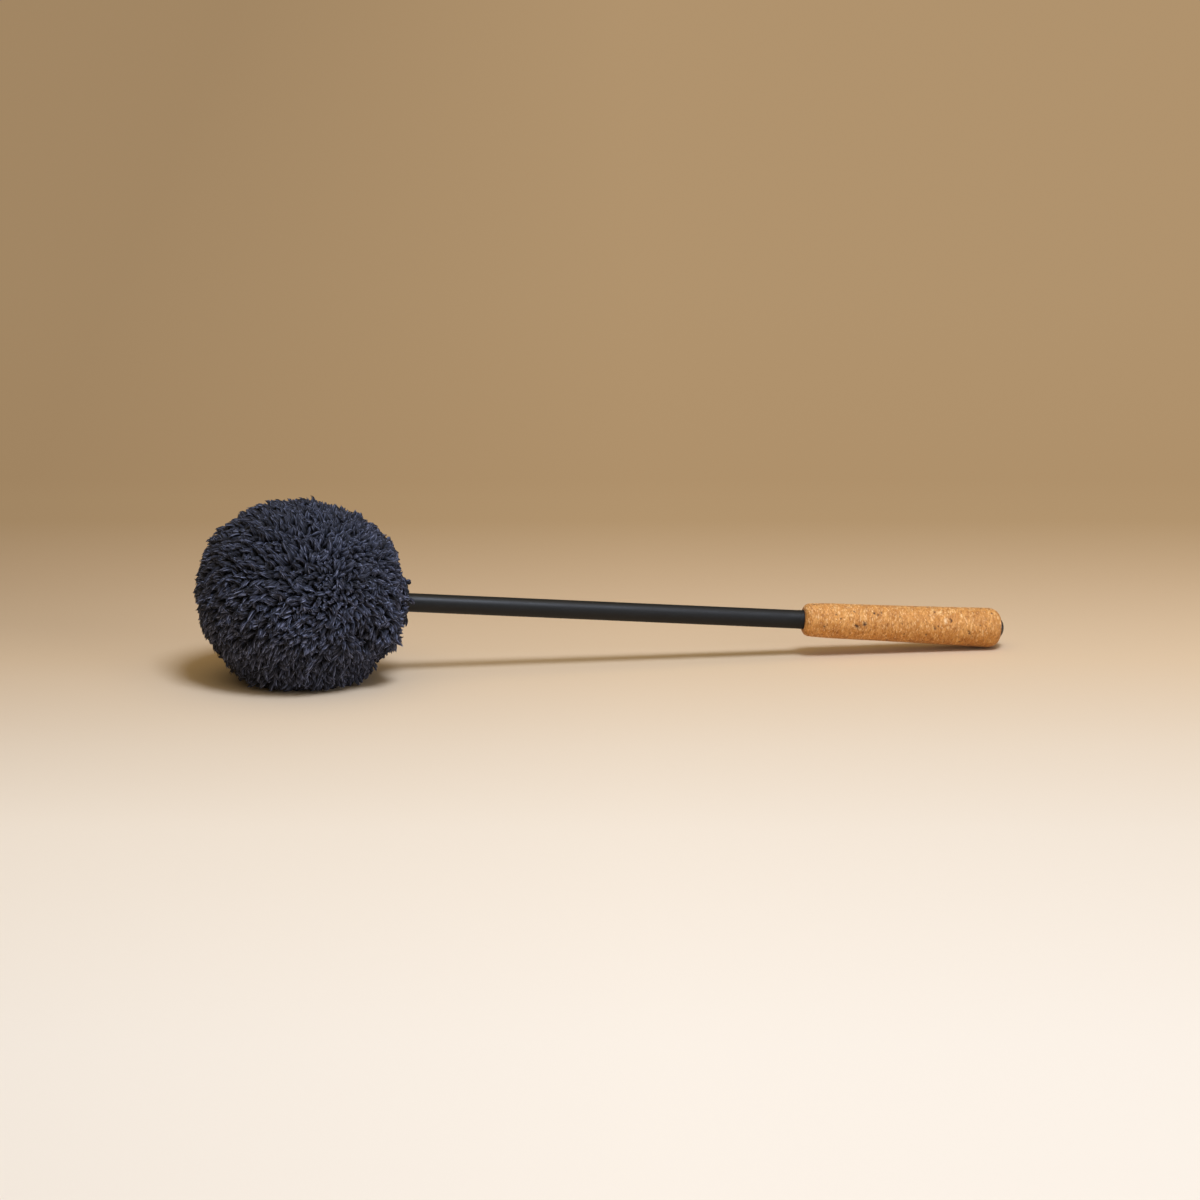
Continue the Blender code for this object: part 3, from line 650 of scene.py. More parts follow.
def cork_finish():
    """Pressed cork: granules of many browns, dark flecks, pits, a fresh chip, and painted shade on the
    underside that deepens towards the butt.
    """
    cork = Finish("pressed_cork")
    place, along, _ = cork.laid()
    warped = cork.add("TexNoise", Vector=place, Scale=700.0, Detail=2.0).outputs["Color"]
    nudge = cork.out("VectorMath", warped, (0.5, 0.5, 0.5), operation="SUBTRACT")
    shift = cork.out("VectorMath", nudge, Scale=0.0016, operation="SCALE")
    bent = cork.out("VectorMath", place, shift, operation="ADD")
    coarse, fine = (
        cork.add("TexVoronoi", Vector=cork.stretched(bent, (along_grip, 1.0, 1.0)), Scale=scale)
        .outputs["Color"] for along_grip, scale in ((2.0, 300.0), (2.8, 720.0))
    )
    kind = cork.add("SeparateColor", coarse).outputs[0]
    grain, rough, _ = cork.add("SeparateColor", fine).outputs
    body = cork.ramp(kind, (0.0, (0.44, 0.171, 0.030)), (0.35, (0.575, 0.242, 0.049)),
                     (0.65, (0.65, 0.296, 0.069)), (1.0, (0.77, 0.412, 0.128)))
    small = cork.ramp(grain, (0.0, (0.27, 0.088, 0.015)), (0.12, (0.48, 0.190, 0.036)),
                      (0.50, (0.61, 0.266, 0.057)), (0.85, (0.76, 0.390, 0.118)),
                      (1.0, (0.97, 0.680, 0.350)))
    colour = cork.tint(0.60, body, small)
    cloud = cork.use(mottling(), place, 0.006, 1.0)
    clouds = cork.ramp(cloud, (0.0, (0.88, 0.84, 0.78)), (1.0, (1.06, 1.06, 1.06)))
    colour = cork.tint(1.0, colour, clouds, "MULTIPLY")
    flecks = cork.out("TexNoise", Vector=cork.stretched(bent, (2.8, 1.0, 1.0)), Scale=900.0, Detail=2.0,
                      Roughness=0.7)
    dark = cork.spread(flecks, 0.59, 0.72)
    colour = cork.stain(colour, dark, 0.78, (0.17, 0.052, 0.011))
    colour = cork.stain(colour, cork.spread(flecks, 0.39, 0.27), 0.62, (0.98, 0.71, 0.42))
    # Painted shade: darker and redder on the underside, most towards the butt.
    below = cork.spread(cork.add("SeparateXYZ", place).outputs["Z"], 0.002, -0.009)
    underside_shade = cork.ramp(cork.spread(along, *reach("cork_grip")), (0.0, (1.0, 0.97, 0.85)),
                      (1.0, (0.78, 0.71, 0.46)))
    colour = cork.tint(below, colour, underside_shade, "MULTIPLY")
    # The pit mark carries painted shade in the pits and painted shadow on the chip's steep side.
    for mark, shown in (("fresh", (0.86, 0.60, 0.34)), ("pit", (0.070, 0.028, 0.012))):
        colour = cork.tint(cork.add("Attribute", attribute_name=mark).outputs["Fac"], colour, shown)
    relief = cork.math("MULTIPLY_ADD", grain, 0.6, cork.math("MULTIPLY", dark, -0.8))
    return cork.done(Base_Color=colour, Roughness=cork.spread(rough, 0.0, 1.0, 0.62, 0.86),
                     Sheen_Weight=0.10, Sheen_Roughness=0.35, Normal=cork.bump(relief, 0.00010))


# Shapes


def turned(outline, segments):
    """A solid turned about the mallet's axis from a closed outline of (along, radius) points."""
    shape = bmesh.new()
    points = [shape.verts.new((along, 0.0, -radius)) for along, radius in outline]
    pairs = list(zip(points, points[1:] + points[:1]))
    edges = [shape.edges.new(pair) for pair in pairs if max(-v.co.z for v in pair) > 1e-6]
    bmesh.ops.spin(
        shape, geom=points + edges, cent=(0, 0, 0), axis=(1, 0, 0), dvec=(0, 0, 0),
        angle=2 * pi, steps=segments, use_merge=True, use_duplicate=False,
    )
    bmesh.ops.remove_doubles(shape, verts=shape.verts, dist=1e-6)
    bmesh.ops.recalc_face_normals(shape, faces=shape.faces)
    return shape


def lay(shape):
    """Lay a shape made along the mallet's axis where the mallet lies."""
    bmesh.ops.transform(shape, matrix=SEAT, verts=shape.verts)
    return shape


def mesh_of(name, shape, material=None):
    """A mesh made from a shape, which is given up."""
    mesh = bpy.data.meshes.new(name)
    shape.to_mesh(mesh)
    shape.free()
    if material:
        mesh.materials.append(material)
    return mesh


def piece(name, shape, material, sharp=pi / 5):
    """A finished shape as a piece that rides with the mallet."""
    mesh = mesh_of(name, shape, material)
    mesh.shade_smooth()
    mesh.set_sharp_from_angle(angle=sharp)
    thing = stand(name, mesh)
    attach(thing, BODY)
    return thing


def as_shown(thing):
    """An object as its bevel, modifiers or cloth leave it."""
    return thing.evaluated_get(bpy.context.evaluated_depsgraph_get())


def finder_of(places):
    """A tree that finds the nearest of some places."""
    finder = KDTree(len(places))
    for index, place in enumerate(places):
        finder.insert(place, index)
    finder.balance()
    return finder


def clamp(value, low=0.0, high=1.0):
    """A value held between two others."""
    return min(high, max(low, value))


def run(first, last, count):
    """Evenly spaced numbers from first to last, both given, count steps between them."""
    return [first + (last - first) * step / count for step in range(count + 1)]


def rounded(along, radius, length, height, first, steps):
    """Points of a rounded edge: a quarter of an oval about (along, radius), from angle first."""
    angles = run(first, first - pi / 2, steps)
    return [(along + length * cos(angle), radius + height * sin(angle)) for angle in angles]


def bend(start, corner, end, steps):
    """Points after start on a smooth curve that leaves and arrives along the lines to the corner."""
    return [
        tuple((1 - t) ** 2 * a + 2 * t * (1 - t) * b + t * t * c for a, b, c in zip(start, corner, end))
        for t in run(0.0, 1.0, steps)[1:]
    ]


# Tube, plug and thread


def satin_tube(material):
    """The flexible tube, chamfered at both ends, with rings of set glue where it enters the grip."""
    start, end = reach("shaft_tube")
    entry = reach("cork_grip")[0]
    edge = 0.0003
    outline = [(start, TUBE_BORE + edge), (start, TUBE_RADIUS - edge), (start + edge, TUBE_RADIUS)]
    outline += [(along, TUBE_RADIUS) for along in run(start + 0.01, entry - 0.01, 40)]
    for ring in range(GLUE_RINGS, 0, -1):
        along = entry - ring * GLUE_STEP
        outline += [(along, TUBE_RADIUS), (along + 0.25 * GLUE_STEP, TUBE_RADIUS + GLUE_HEIGHT),
                    (along + 0.60 * GLUE_STEP, TUBE_RADIUS + GLUE_HEIGHT)]
    outline += [(entry, TUBE_RADIUS), (end - edge, TUBE_RADIUS), (end, TUBE_RADIUS - edge),
                (end, TUBE_BORE + edge), (end - edge, TUBE_BORE), (start + edge, TUBE_BORE)]
    tube = piece("satin_tube", lay(turned(outline, 96)), material, pi / 4)
    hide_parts("shaft_tube")


def domed_plug(material):
    """The plug: a smooth dome that rolls over into its rim, and its stem in the tube."""
    start, end = reach("butt_plug")
    seat = end - PLUG_DOME - PLUG_FLANGE
    ball = (TUBE_RADIUS ** 2 + PLUG_DOME ** 2) / (2 * PLUG_DOME)
    angles = run(asin(TUBE_RADIUS / ball) * 0.94, 0, 18)
    stem = TUBE_BORE - PLUG_CLEAR
    edge = 0.0004
    outline = [(start, 0.0), (start, stem - edge), (start + edge, stem), (seat, stem),
               (seat, TUBE_RADIUS - edge), (seat + edge, TUBE_RADIUS)]
    rim = (end - PLUG_DOME - 0.5 * edge, TUBE_RADIUS)
    dome = [(end - ball * (1 - cos(angle)), ball * sin(angle)) for angle in angles]
    outline += [rim] + bend(rim, (end - PLUG_DOME, TUBE_RADIUS), dome[0], 4) + dome[1:]
    plug = piece("domed_plug", lay(turned(outline, 72)), material, pi / 3)
    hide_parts("butt_plug")


def neck_thread(material):
    """The thread that ties the neck: two plies twisted together and wound round the waist."""
    start, end = reach("neck_binding")
    first = start + THREAD_RADIUS
    rise = (end - start - 2 * THREAD_RADIUS) / THREAD_TURNS
    radius = WAIST_RADIUS + THREAD_CLEAR + THREAD_RADIUS
    length = 2 * pi * radius * THREAD_TURNS
    steps = int(length / PLY_TWIST * 8)
    curve = bpy.data.curves.new("neck_thread", "CURVE")
    curve.dimensions = "3D"
    curve.bevel_depth = PLY_RADIUS
    curve.bevel_resolution = 1
    curve.use_fill_caps = True
    for ply in (0.0, pi):
        spline = curve.splines.new("POLY")
        spline.points.add(steps)
        for step, point in enumerate(spline.points):
            share = step / steps
            turn = 2 * pi * THREAD_TURNS * share
            twist = ply + 2 * pi * length * share / PLY_TWIST
            out = radius + (THREAD_RADIUS - PLY_RADIUS) * cos(twist)
            along = first + rise * THREAD_TURNS * share + (THREAD_RADIUS - PLY_RADIUS) * sin(twist)
            point.co = (along, out * sin(turn), out * cos(turn), 1.0)
    shape = bmesh.new()
    drawn = stand("neck_thread_route", curve)
    shape.from_mesh(as_shown(drawn).to_mesh())
    bpy.data.objects.remove(drawn)
    thread = piece("neck_thread", lay(shape), material, pi)
    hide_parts("neck_binding")


# Cork grip


def grip_radius(along, length):
    """Outer radius of the grip: a soft shoulder at the front, then a swell towards the butt."""
    swell = (along / length) ** GRIP_SWELL
    radius = GRIP_NECK_RADIUS + (GRIP_BUTT_RADIUS - GRIP_NECK_RADIUS) * swell
    shoulder = max(0.0, 1 - along / GRIP_SHOULDER)
    return radius - (GRIP_NECK_RADIUS - GRIP_FRONT_RADIUS) * shoulder ** 2


def grip_outline(length):
    """Outline of the cork sleeve, closely spaced on its outside, from its front bore edge."""
    start, end = GRIP_FRONT_LENGTH, length - BUTT_LENGTH
    front = min(GRIP_FRONT_EDGE, grip_radius(start, length) - GRIP_BORE - BUTT_LAND)
    butt = grip_radius(end, length) - GRIP_BORE - BUTT_LAND
    outline = [(0.0, GRIP_BORE)]
    outline += rounded(start, grip_radius(start, length) - front, start, front, pi, 12)
    steps = int((end - start) / GRIP_STEP)
    outline += [(along, grip_radius(along, length)) for along in run(start, end, steps)[1:]]
    outline += rounded(end, grip_radius(end, length) - butt, BUTT_LENGTH, butt, pi / 2, 22)[1:]
    return outline + [(length, GRIP_BORE)]


def on_grip(along, turn, length):
    """A point on the grip's outside."""
    radius = grip_radius(along, length)
    return Vector((along, -cos(turn) * radius, sin(turn) * radius))


def pit_places(length):
    """All pits as points on the grip with radius and depth: those in view, and others all round it."""
    chance = np.random.default_rng(SEED + 1)
    places = [(on_grip(along, radians(turn), length), *size) for along, turn, *size in PITS]
    for _ in range(HIDDEN_PITS):
        along = chance.uniform(0.004, length - 0.004)
        turn = radians(chance.uniform(85, 320))
        radius = chance.uniform(0.0003, 0.0008)
        places.append((on_grip(along, turn, length), radius, radius * 0.7))
    return places


def cork_sleeve(material):
    """The cork sleeve: granules that stand at different heights, pits and one chip."""
    start, end = reach("cork_grip")
    length = end - start
    shape = turned(grip_outline(length), GRIP_SEGMENTS)
    shape.normal_update()
    pits = pit_places(length)
    nearest = finder_of([place for place, _, _ in pits])
    chip = on_grip(CHIP_ALONG, CHIP_TURN, length)
    chip_up = Vector((0.0, sin(CHIP_TURN), cos(CHIP_TURN)))
    pit_layer = shape.verts.layers.float.new("pit")
    fresh_layer = shape.verts.layers.float.new("fresh")
    moves = []
    for vertex in shape.verts:
        spot = vertex.co
        if hypot(spot.y, spot.z) < GRIP_BORE + BUTT_LAND:
            moves.append(0.0)
            continue
        fine = noise.noise(spot * FINE_GRAIN)
        grain = noise.noise(Vector((spot.x * 900, spot.y * 520, spot.z * 520))) + 0.6 * fine
        move = GRAIN * grain - GRAIN * 0.6
        dark = 0.0
        # Pits sink, and their hollows are darkened through the pit mark: painted shade.
        for place, index, gap in nearest.find_range(spot, PIT_REACH):
            _, radius, depth = pits[index]
            near = exp(-(gap / (radius * (0.9 + 0.9 * fine))) ** 2)
            move -= depth * near
            dark = max(dark, min(1.0, 1.25 * near))
        ahead = (spot - chip).x / CHIP_LENGTH
        above = (spot - chip).dot(chip_up) / CHIP_WIDTH
        inside = ahead * ahead + above * above
        if inside < 1 and (spot - chip).length < CHIP_REACH:
            move -= CHIP_DEPTH * (1 - inside) ** 0.5 * (0.45 + 0.55 * (ahead + 1) / 2)
            vertex[fresh_layer] = clamp(-1.6 * ahead) * min(1.0, 2.5 * (1 - inside))
            # Painted shadow: the chip's steep side is darkened through the pit mark.
            dark = max(dark, 0.85 * clamp(2.6 * ahead - 0.9))
        vertex[pit_layer] = dark
        moves.append(move)
    for vertex, move in zip(shape.verts, moves):
        vertex.co += vertex.normal * move
        vertex.co.x += start
    sleeve = piece("cork_sleeve", lay(shape), material, pi / 3)
    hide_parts("cork_grip")


# Fleece head


def away(direction, from_here):
    """The angle between two directions, in degrees."""
    return Vector(direction).angle(Vector(from_here)) * 180 / pi


def crease_depth(direction):
    """How deep the crease beside the rear lobe is in a direction, from 0 to 1."""
    start, end = Vector(CREASE_START), Vector(CREASE_END)
    line = end - start
    share = clamp((direction - start).dot(line) / line.length_squared)
    return exp(-((direction - start - share * line).length / CREASE_WIDTH) ** 2)


def unevenness(direction):
    """How far the head's outside stands off an even oval in a direction."""
    stands = 0.0011 * noise.noise(direction * 3.1) + 0.0006 * noise.noise(direction * 7.0)
    stands += SHOULDER_HEIGHT * exp(-((away(direction, AXIS) - SHOULDER_ANGLE) / SHOULDER_WIDTH) ** 2)
    for place, height, width in LUMPS:
        stands += height * exp(-(away(direction, place) / width) ** 2)
    return stands - CREASE_DEPTH * crease_depth(direction)


def pressed(point):
    """A point of the head kept above the floor; what is pressed near the floor swells outwards."""
    height = point.z
    low = max(0.0, 1 - height / FOOT_HEIGHT) if height > 0 else 1.0
    outward = Vector((point.x - HEAD.x, point.y - HEAD.y, 0.0))
    moved = point.copy()
    if outward.length > 1e-6:
        moved += outward.normalized() * FOOT_SPREAD * low ** 2
    moved.z = FLOOR_SKIN + (height - FLOOR_SKIN + hypot(height - FLOOR_SKIN, FLOOR_SKIN)) / 2
    return moved


def backing_outline():
    """Outline of the knitted bag: ball, dimple, waist, hem, and back along the inside."""
    length, radius = BALL_LENGTH - CLOTH_DEPTH, BALL_RADIUS - CLOTH_DEPTH
    lip = asin(DIMPLE_RADIUS / radius)
    outside = [(length * cos(angle), radius * sin(angle)) for angle in run(pi, lip, 42)]
    outside += bend(outside[-1], (WAIST_START, DIMPLE_RADIUS), (WAIST_START, WAIST_RADIUS), 5)
    waist = WAIST_END - WAIST_START
    outside += [(WAIST_START + share * waist, WAIST_RADIUS) for share in (0.33, 0.67, 1.0)]
    spread_radius = WAIST_RADIUS + HEM_SPREAD
    side = (WAIST_END + HEM_LENGTH * 0.6, spread_radius)
    tip = (WAIST_END + HEM_LENGTH, (spread_radius + NECK_CLEAR) / 2)
    outside += bend(outside[-1], (WAIST_END, spread_radius), side, 4)
    outside += bend(side, (tip[0], spread_radius), tip, 4)
    return outside + [(tip[0], NECK_CLEAR)] + [
        (HOLLOW_LENGTH * cos(angle), HOLLOW_RADIUS * sin(angle))
        for angle in run(asin(NECK_CLEAR / HOLLOW_RADIUS), pi, 44)
    ]


def pleat_weight(spot):
    """How deep the gathers are at a point of the bag's outside, from 0 to 1."""
    radius = hypot(spot.y, spot.z)
    if spot.x > WAIST_END:
        return (spot.x - WAIST_END) / HEM_LENGTH
    if spot.x < WAIST_START - WAIST_EDGE and radius < DIMPLE_RADIUS:
        return max(0.0, (radius - WAIST_RADIUS) / (DIMPLE_RADIUS - WAIST_RADIUS))
    if spot.x > 0 and radius < PLEAT_REACH:
        return (PLEAT_REACH - radius) / (PLEAT_REACH - DIMPLE_RADIUS)
    return 0.0


def bag_move(vertex, radius):
    """How far a point of the bag's outside moves for the pleats and the lumps."""
    spot = vertex.co
    move = Vector()
    on_waist = WAIST_START - WAIST_EDGE <= spot.x <= WAIST_END + WAIST_EDGE
    if spot.x > WAIST_START - 0.02 and radius < PLEAT_REACH and not on_waist:
        wave = cos(PLEATS * atan2(spot.y, -spot.z))
        move += vertex.normal * PLEAT_DEPTH * wave * min(1.0, pleat_weight(spot))
    if spot.x < WAIST_START:
        share = 1.0 if spot.x < 0 else clamp((radius - WAIST_RADIUS) / 0.02)
        move += spot.normalized() * unevenness((TURN @ spot).normalized()) * share
    return move


def coarse_bag(shape, outer):
    """The bag's outside alone, as a closed net of even squares."""
    copy = shape.copy()
    inner = [vertex for vertex, seen in zip(copy.verts, outer) if not seen]
    bmesh.ops.delete(copy, geom=inner, context="VERTS")
    bmesh.ops.holes_fill(copy, edges=copy.edges[:], sides=0)
    bmesh.ops.recalc_face_normals(copy, faces=copy.faces)
    bag = stand("coarse_bag", mesh_of("coarse_bag", copy))
    net = bag.modifiers.new("net", "REMESH")
    net.mode = "VOXEL"
    net.voxel_size = BAG_VOXEL
    even = bpy.data.meshes.new_from_object(as_shown(bag))
    bag.modifiers.remove(net)
    bag.data = even
    return bag


def held_at(place):
    """How firmly the thread at the neck and the floor under the foot hold the bag, from 0 to 1."""
    by_neck = 2 - (place - HEAD).angle(AXIS) / BAG_NECK
    by_floor = 1 - (place.z - FLOOR_SKIN) / BAG_FOOT
    return min(1.0, max(0.0, by_neck, by_floor))


def filled_out(shape, outer):
    """Swell the bag's outside as its filling does: a short cloth run on a coarse copy, with small moves."""
    bag = coarse_bag(shape, outer)
    places = [vertex.co.copy() for vertex in bag.data.vertices]
    held = bag.vertex_groups.new(name="held")
    for index, place in enumerate(places):
        hold = held_at(place)
        held.add([index], hold, "REPLACE")
        bag.data.vertices[index].co = place - (place - HEAD).normalized() * BAG_SLACK * (1 - hold)
    cloth = bag.modifiers.new("cloth", "CLOTH").settings
    cloth.quality = 6
    cloth.use_pressure = True
    cloth.uniform_pressure_force = BAG_PRESSURE
    cloth.effector_weights.gravity = 0.0
    cloth.vertex_group_mass = "held"
    cloth.shrink_min = -BAG_EASE
    for step in range(1, BAG_STEPS + 1):
        bpy.context.scene.frame_set(step)
    swollen = as_shown(bag).to_mesh()
    moves = [vertex.co - place for vertex, place in zip(swollen.vertices, places)]
    bpy.data.objects.remove(bag)
    bpy.context.scene.frame_set(1)
    finder = finder_of(places)
    for vertex, seen in zip(shape.verts, outer):
        if seen:
            near = finder.find_n(vertex.co, 6)
            weights = [1 / (gap + BAG_BLEND) for _, _, gap in near]
            move = sum((moves[index] * weight for (_, index, _), weight in zip(near, weights)), Vector())
            move /= sum(weights)
            vertex.co += move * min(1.0, BAG_CAP / max(move.length, 1e-9))
            vertex.co.z = max(vertex.co.z, FLOOR_SKIN)


def fleece_backing(material):
    """The knitted bag under the pile: one closed skin round the padding, with pleats at the neck."""
    shape = turned(backing_outline(), 120)
    shape.normal_update()
    skin_middle = (HOLLOW_RADIUS + BALL_RADIUS - CLOTH_DEPTH) / 2
    outer, moves = [], []
    for vertex in shape.verts:
        radius = hypot(vertex.co.y, vertex.co.z)
        seen = vertex.co.length > skin_middle and (radius > NECK_CLEAR + 0.0005 or vertex.co.x < 0)
        outer.append(seen)
        moves.append(bag_move(vertex, radius) if seen else Vector())
    for vertex, move in zip(shape.verts, moves):
        vertex.co += move
    lay(shape)
    for vertex, seen in zip(shape.verts, outer):
        if seen:
            vertex.co = pressed(vertex.co)
    filled_out(shape, outer)
    bmesh.ops.recalc_face_normals(shape, faces=shape.faces)
    backing = piece("fleece_backing", shape, material, pi)
    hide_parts("fleece_cover")
    return backing


def even_directions(count):
    """Directions spread evenly over a ball, from the golden angle."""
    found = []
    for index in range(count):
        height = 1 - 2 * (index + 0.5) / count
        radius = sqrt(1 - height * height)
        turn = pi * GOLDEN * index
        found.append(Vector((radius * cos(turn), radius * sin(turn), height)))
    return found


def combed_places():
    """The combed places as directions from the head's centre, each with the way its pile points."""
    right, rise, toward = view_axes()
    places = []
    for across, above, bearing in COMBED:
        ahead = sqrt(max(0.0, 1 - across ** 2 - above ** 2))
        direction = across * right + above * rise + ahead * toward
        way = cos(radians(bearing)) * right + sin(radians(bearing)) * rise
        places.append((direction, (way - direction * way.dot(direction)).normalized()))
    return places


def nap_at(direction, places):
    """Which way the pile lies at a direction: combed where it is known, else away from the crown."""
    crown = Vector(CROWN)
    nap = 0.10 * ((direction * direction.dot(crown) - crown).normalized() + Vector((0.0, 0.0, -0.3)))
    for place, way in places:
        nap += way * exp(-(direction.angle(place) / COMB_WIDTH) ** 2)
    return nap


def drift(place):
    """A smooth uneven shift that depends on the place alone."""
    apart = ((0, 0, 0), (31, 7, 0), (0, 53, 19))
    return Vector([noise.noise(place + Vector(offset)) for offset in apart])


def main_tufts():
    """Where the main tufts are on the head, as directions from its centre, in a tree to find them by."""
    count = round(4 * pi * (BALL_RADIUS / TUFT_SPACING) ** 2 * 2 / sqrt(3))
    scatter = 2 * TUFT_SCATTER / BALL_RADIUS
    directions = []
    for even in even_directions(count):
        even = Vector((-even.z, even.x, even.y))
        even = (even + scatter * drift(even * SCATTER_PITCH)).normalized()
        spot = Vector((even.x * BALL_LENGTH, even.y * BALL_RADIUS, even.z * BALL_RADIUS))
        directions.append((TURN @ spot).normalized())
    return finder_of(directions)


def valley(direction, mains):
    """The nearest main tuft's middle, and how far towards the valley a direction is, from 0 to 1."""
    (middle, _, near), (_, _, next_near) = mains.find_n(direction, 2)
    return middle, (near / next_near) ** 2.5


def shifted(direction, amount, chance):
    """A direction moved a little by chance."""
    return (direction + amount * Vector(chance.normal(size=3))).normalized()


def little_tufts(chance):
    """What the locks of one little tuft share: nap, height, shade and more, and a tree to find it by."""
    places = combed_places()
    habits = []
    for direction in even_directions(LITTLE_TUFTS):
        direction = shifted(direction, 2 * SEAT_JITTER, chance)
        standing = exp(-(away(direction, UPRIGHT) / UPRIGHT_WIDTH) ** 2)
        painted_light = exp(-(away(direction, PAINTED_LIGHT) / PAINTED_LIGHT_WIDTH) ** 2)
        nap = nap_at(direction, places).normalized() * (1 - 0.5 * standing)
        nap += 0.35 * drift(direction * 3.0) + 0.40 * Vector(chance.normal(size=3))
        habits.append({
            "middle": direction,
            "nap": nap,
            "height": (1 - 0.10 * standing) * (1 + 0.11 * chance.normal()),
            "lean": LEAN * (1 - 0.40 * standing) * chance.uniform(0.6, 1.4),
            "curl": chance.normal() * CURL,
            "pitch": chance.uniform(1.4, 3.2),
            "phase": chance.uniform(0.0, 2 * pi),
            # Painted light and shade in each tuft's shade: darker on top and to the left, paler in the
            # painted light spot, darker in the crease.
            "shade": (
                0.42 - 0.12 * standing + 0.17 * chance.normal() + 0.24 * noise.noise(direction * 3.2)
                - 0.28 * max(0.0, direction.z) + 0.12 * direction.x + 0.82 * painted_light
                - 0.45 * crease_depth(direction)
            ),
        })
    return habits, finder_of([habit["middle"] for habit in habits])


Seat = namedtuple("Seat", "root normal nap gather height lean habit shade")


def lock_roots(backing, mains, chance):
    """Where every lock of pile is rooted: its direction, its root, the skin's normal and its height."""
    skin = BVHTree.FromObject(backing, bpy.context.evaluated_depsgraph_get())
    roots = []
    for direction in even_directions(LOCKS):
        direction = shifted(direction, SEAT_JITTER, chance)
        if direction.angle(AXIS) > asin(WAIST_RADIUS / WAIST_END):
            root, normal, _, _ = skin.ray_cast(HEAD + direction * 0.1, -direction)
            depth = LOCK_HEIGHT * (1 - 0.50 * crease_depth(direction))
            roots.append((direction, root, normal, depth - VALLEY_DEPTH * valley(direction, mains)[1]))
    for index in range(HEM_LOCKS):
        turn = index * pi * GOLDEN
        out = cos(turn) * SIDE + sin(turn) * UP
        along = AXIS * (WAIST_END + HEM_LENGTH * chance.uniform(0.12, 0.9))
        root, _, _, _ = skin.ray_cast(HEAD + along + out * 0.03, -out)
        roots.append(((along + out * 0.012).normalized(), root, out, 0.42 * LOCK_HEIGHT))
    return roots


def lock_seats(backing, chance):
    """How every lock of pile stands on its root."""
    habits, finder = little_tufts(chance)
    mains = main_tufts()
    seats = []
    for direction, root, normal, depth in lock_roots(backing, mains, chance):
        if normal.dot(direction) < 0:
            normal = -normal
        habit = habits[finder.find(direction)[1]]
        main_middle, in_valley = valley(direction, mains)
        nap = habit["nap"] + 0.16 * Vector(chance.normal(size=3)) + 0.22 * drift(root * 170.0)
        near_neck = max(0.0, 1 - direction.angle(AXIS) / NECK_CALM)
        nap -= 1.6 * near_neck * AXIS
        nap = (nap - normal * nap.dot(normal)).normalized()
        pull = (GATHER * habit["middle"] + MAIN_GATHER * main_middle).normalized()
        gather = HEAD + pull * (root - HEAD).length - root
        gather = (GATHER + MAIN_GATHER) * (gather - normal * gather.dot(normal))
        lean = habit["lean"] * chance.uniform(0.85, 1.18)
        height = depth * habit["height"] * (1 + 0.06 * chance.normal()) * (1 - 0.50 * near_neck)
        if root.z < PRESSED_HEIGHT:
            height *= 0.55
            lean = 2.0
        # Painted shade: locks are darker towards the valleys between the main tufts.
        shade = clamp(habit["shade"] + 0.09 * chance.normal() - 0.16 * in_valley ** 2 + 0.03, 0.02, 0.96)
        seats.append(Seat(root, normal, nap, gather, height, lean, habit, shade))
    return seats


def fibre_route(seat, wide_start, bearing, long, chance):
    """The points of one fibre of a lock, from its root to its tip."""
    curl, phase, pitch = (seat.habit[name] for name in ("curl", "phase", "pitch"))
    side = seat.normal.cross(seat.nap)
    steps = np.linspace(0.0, 1.0, FIBRE_POINTS)
    rise = 1 - (1 - steps) ** 1.8
    close = wide_start * (1 - 0.80 * steps ** 1.2)
    bow = curl * (np.sin(phase + pitch * steps) - sin(phase)) + 0.0002 * chance.normal() * steps
    lift = seat.height * long * rise + 0.35 * curl * (np.cos(phase + pitch * steps) - cos(phase))
    ahead = seat.height * seat.lean * long * steps ** 1.4 + close * cos(bearing)
    route = np.array(seat.root)
    for amount, way in ((lift, seat.normal), (ahead, seat.nap), (close * sin(bearing) + bow, side),
                        (steps ** 1.3, seat.gather)):
        route = route + np.outer(amount, way)
    route[:, 2] = PILE_FLOOR + (route[:, 2] + np.sqrt(route[:, 2] ** 2 + PILE_EASE ** 2)) / 2
    return route


def add_lock(curve, seat, chance):
    """Draw one lock, a broad body and the fibres round it; returns the shade of each."""
    shades = []
    for fibre in range(FIBRES + 1):
        wide, start, bearing, long, taper = BODY_WIDTH, 0.0, 0.0, 0.90, BODY_TAPER
        if fibre:
            wide = FIBRE_WIDTH * chance.uniform(0.75, 1.2)
            start = LOCK_WIDTH * (0.45 + 0.55 * chance.random())
            bearing = 2 * pi * fibre / FIBRES + chance.uniform(-0.4, 0.4)
            long = chance.uniform(0.80, 1.10)
            taper = FIBRE_TAPER
        route = fibre_route(seat, start, bearing, long, chance)
        points = curve.splines.new("POLY").points
        points.add(FIBRE_POINTS - 1)
        points.foreach_set("co", np.hstack([route, np.ones((FIBRE_POINTS, 1))]).ravel())
        points.foreach_set("radius", wide * taper)
        shades.append(clamp(seat.shade + 0.10 * chance.normal() * (fibre > 0), 0.01, 0.97))
    return shades


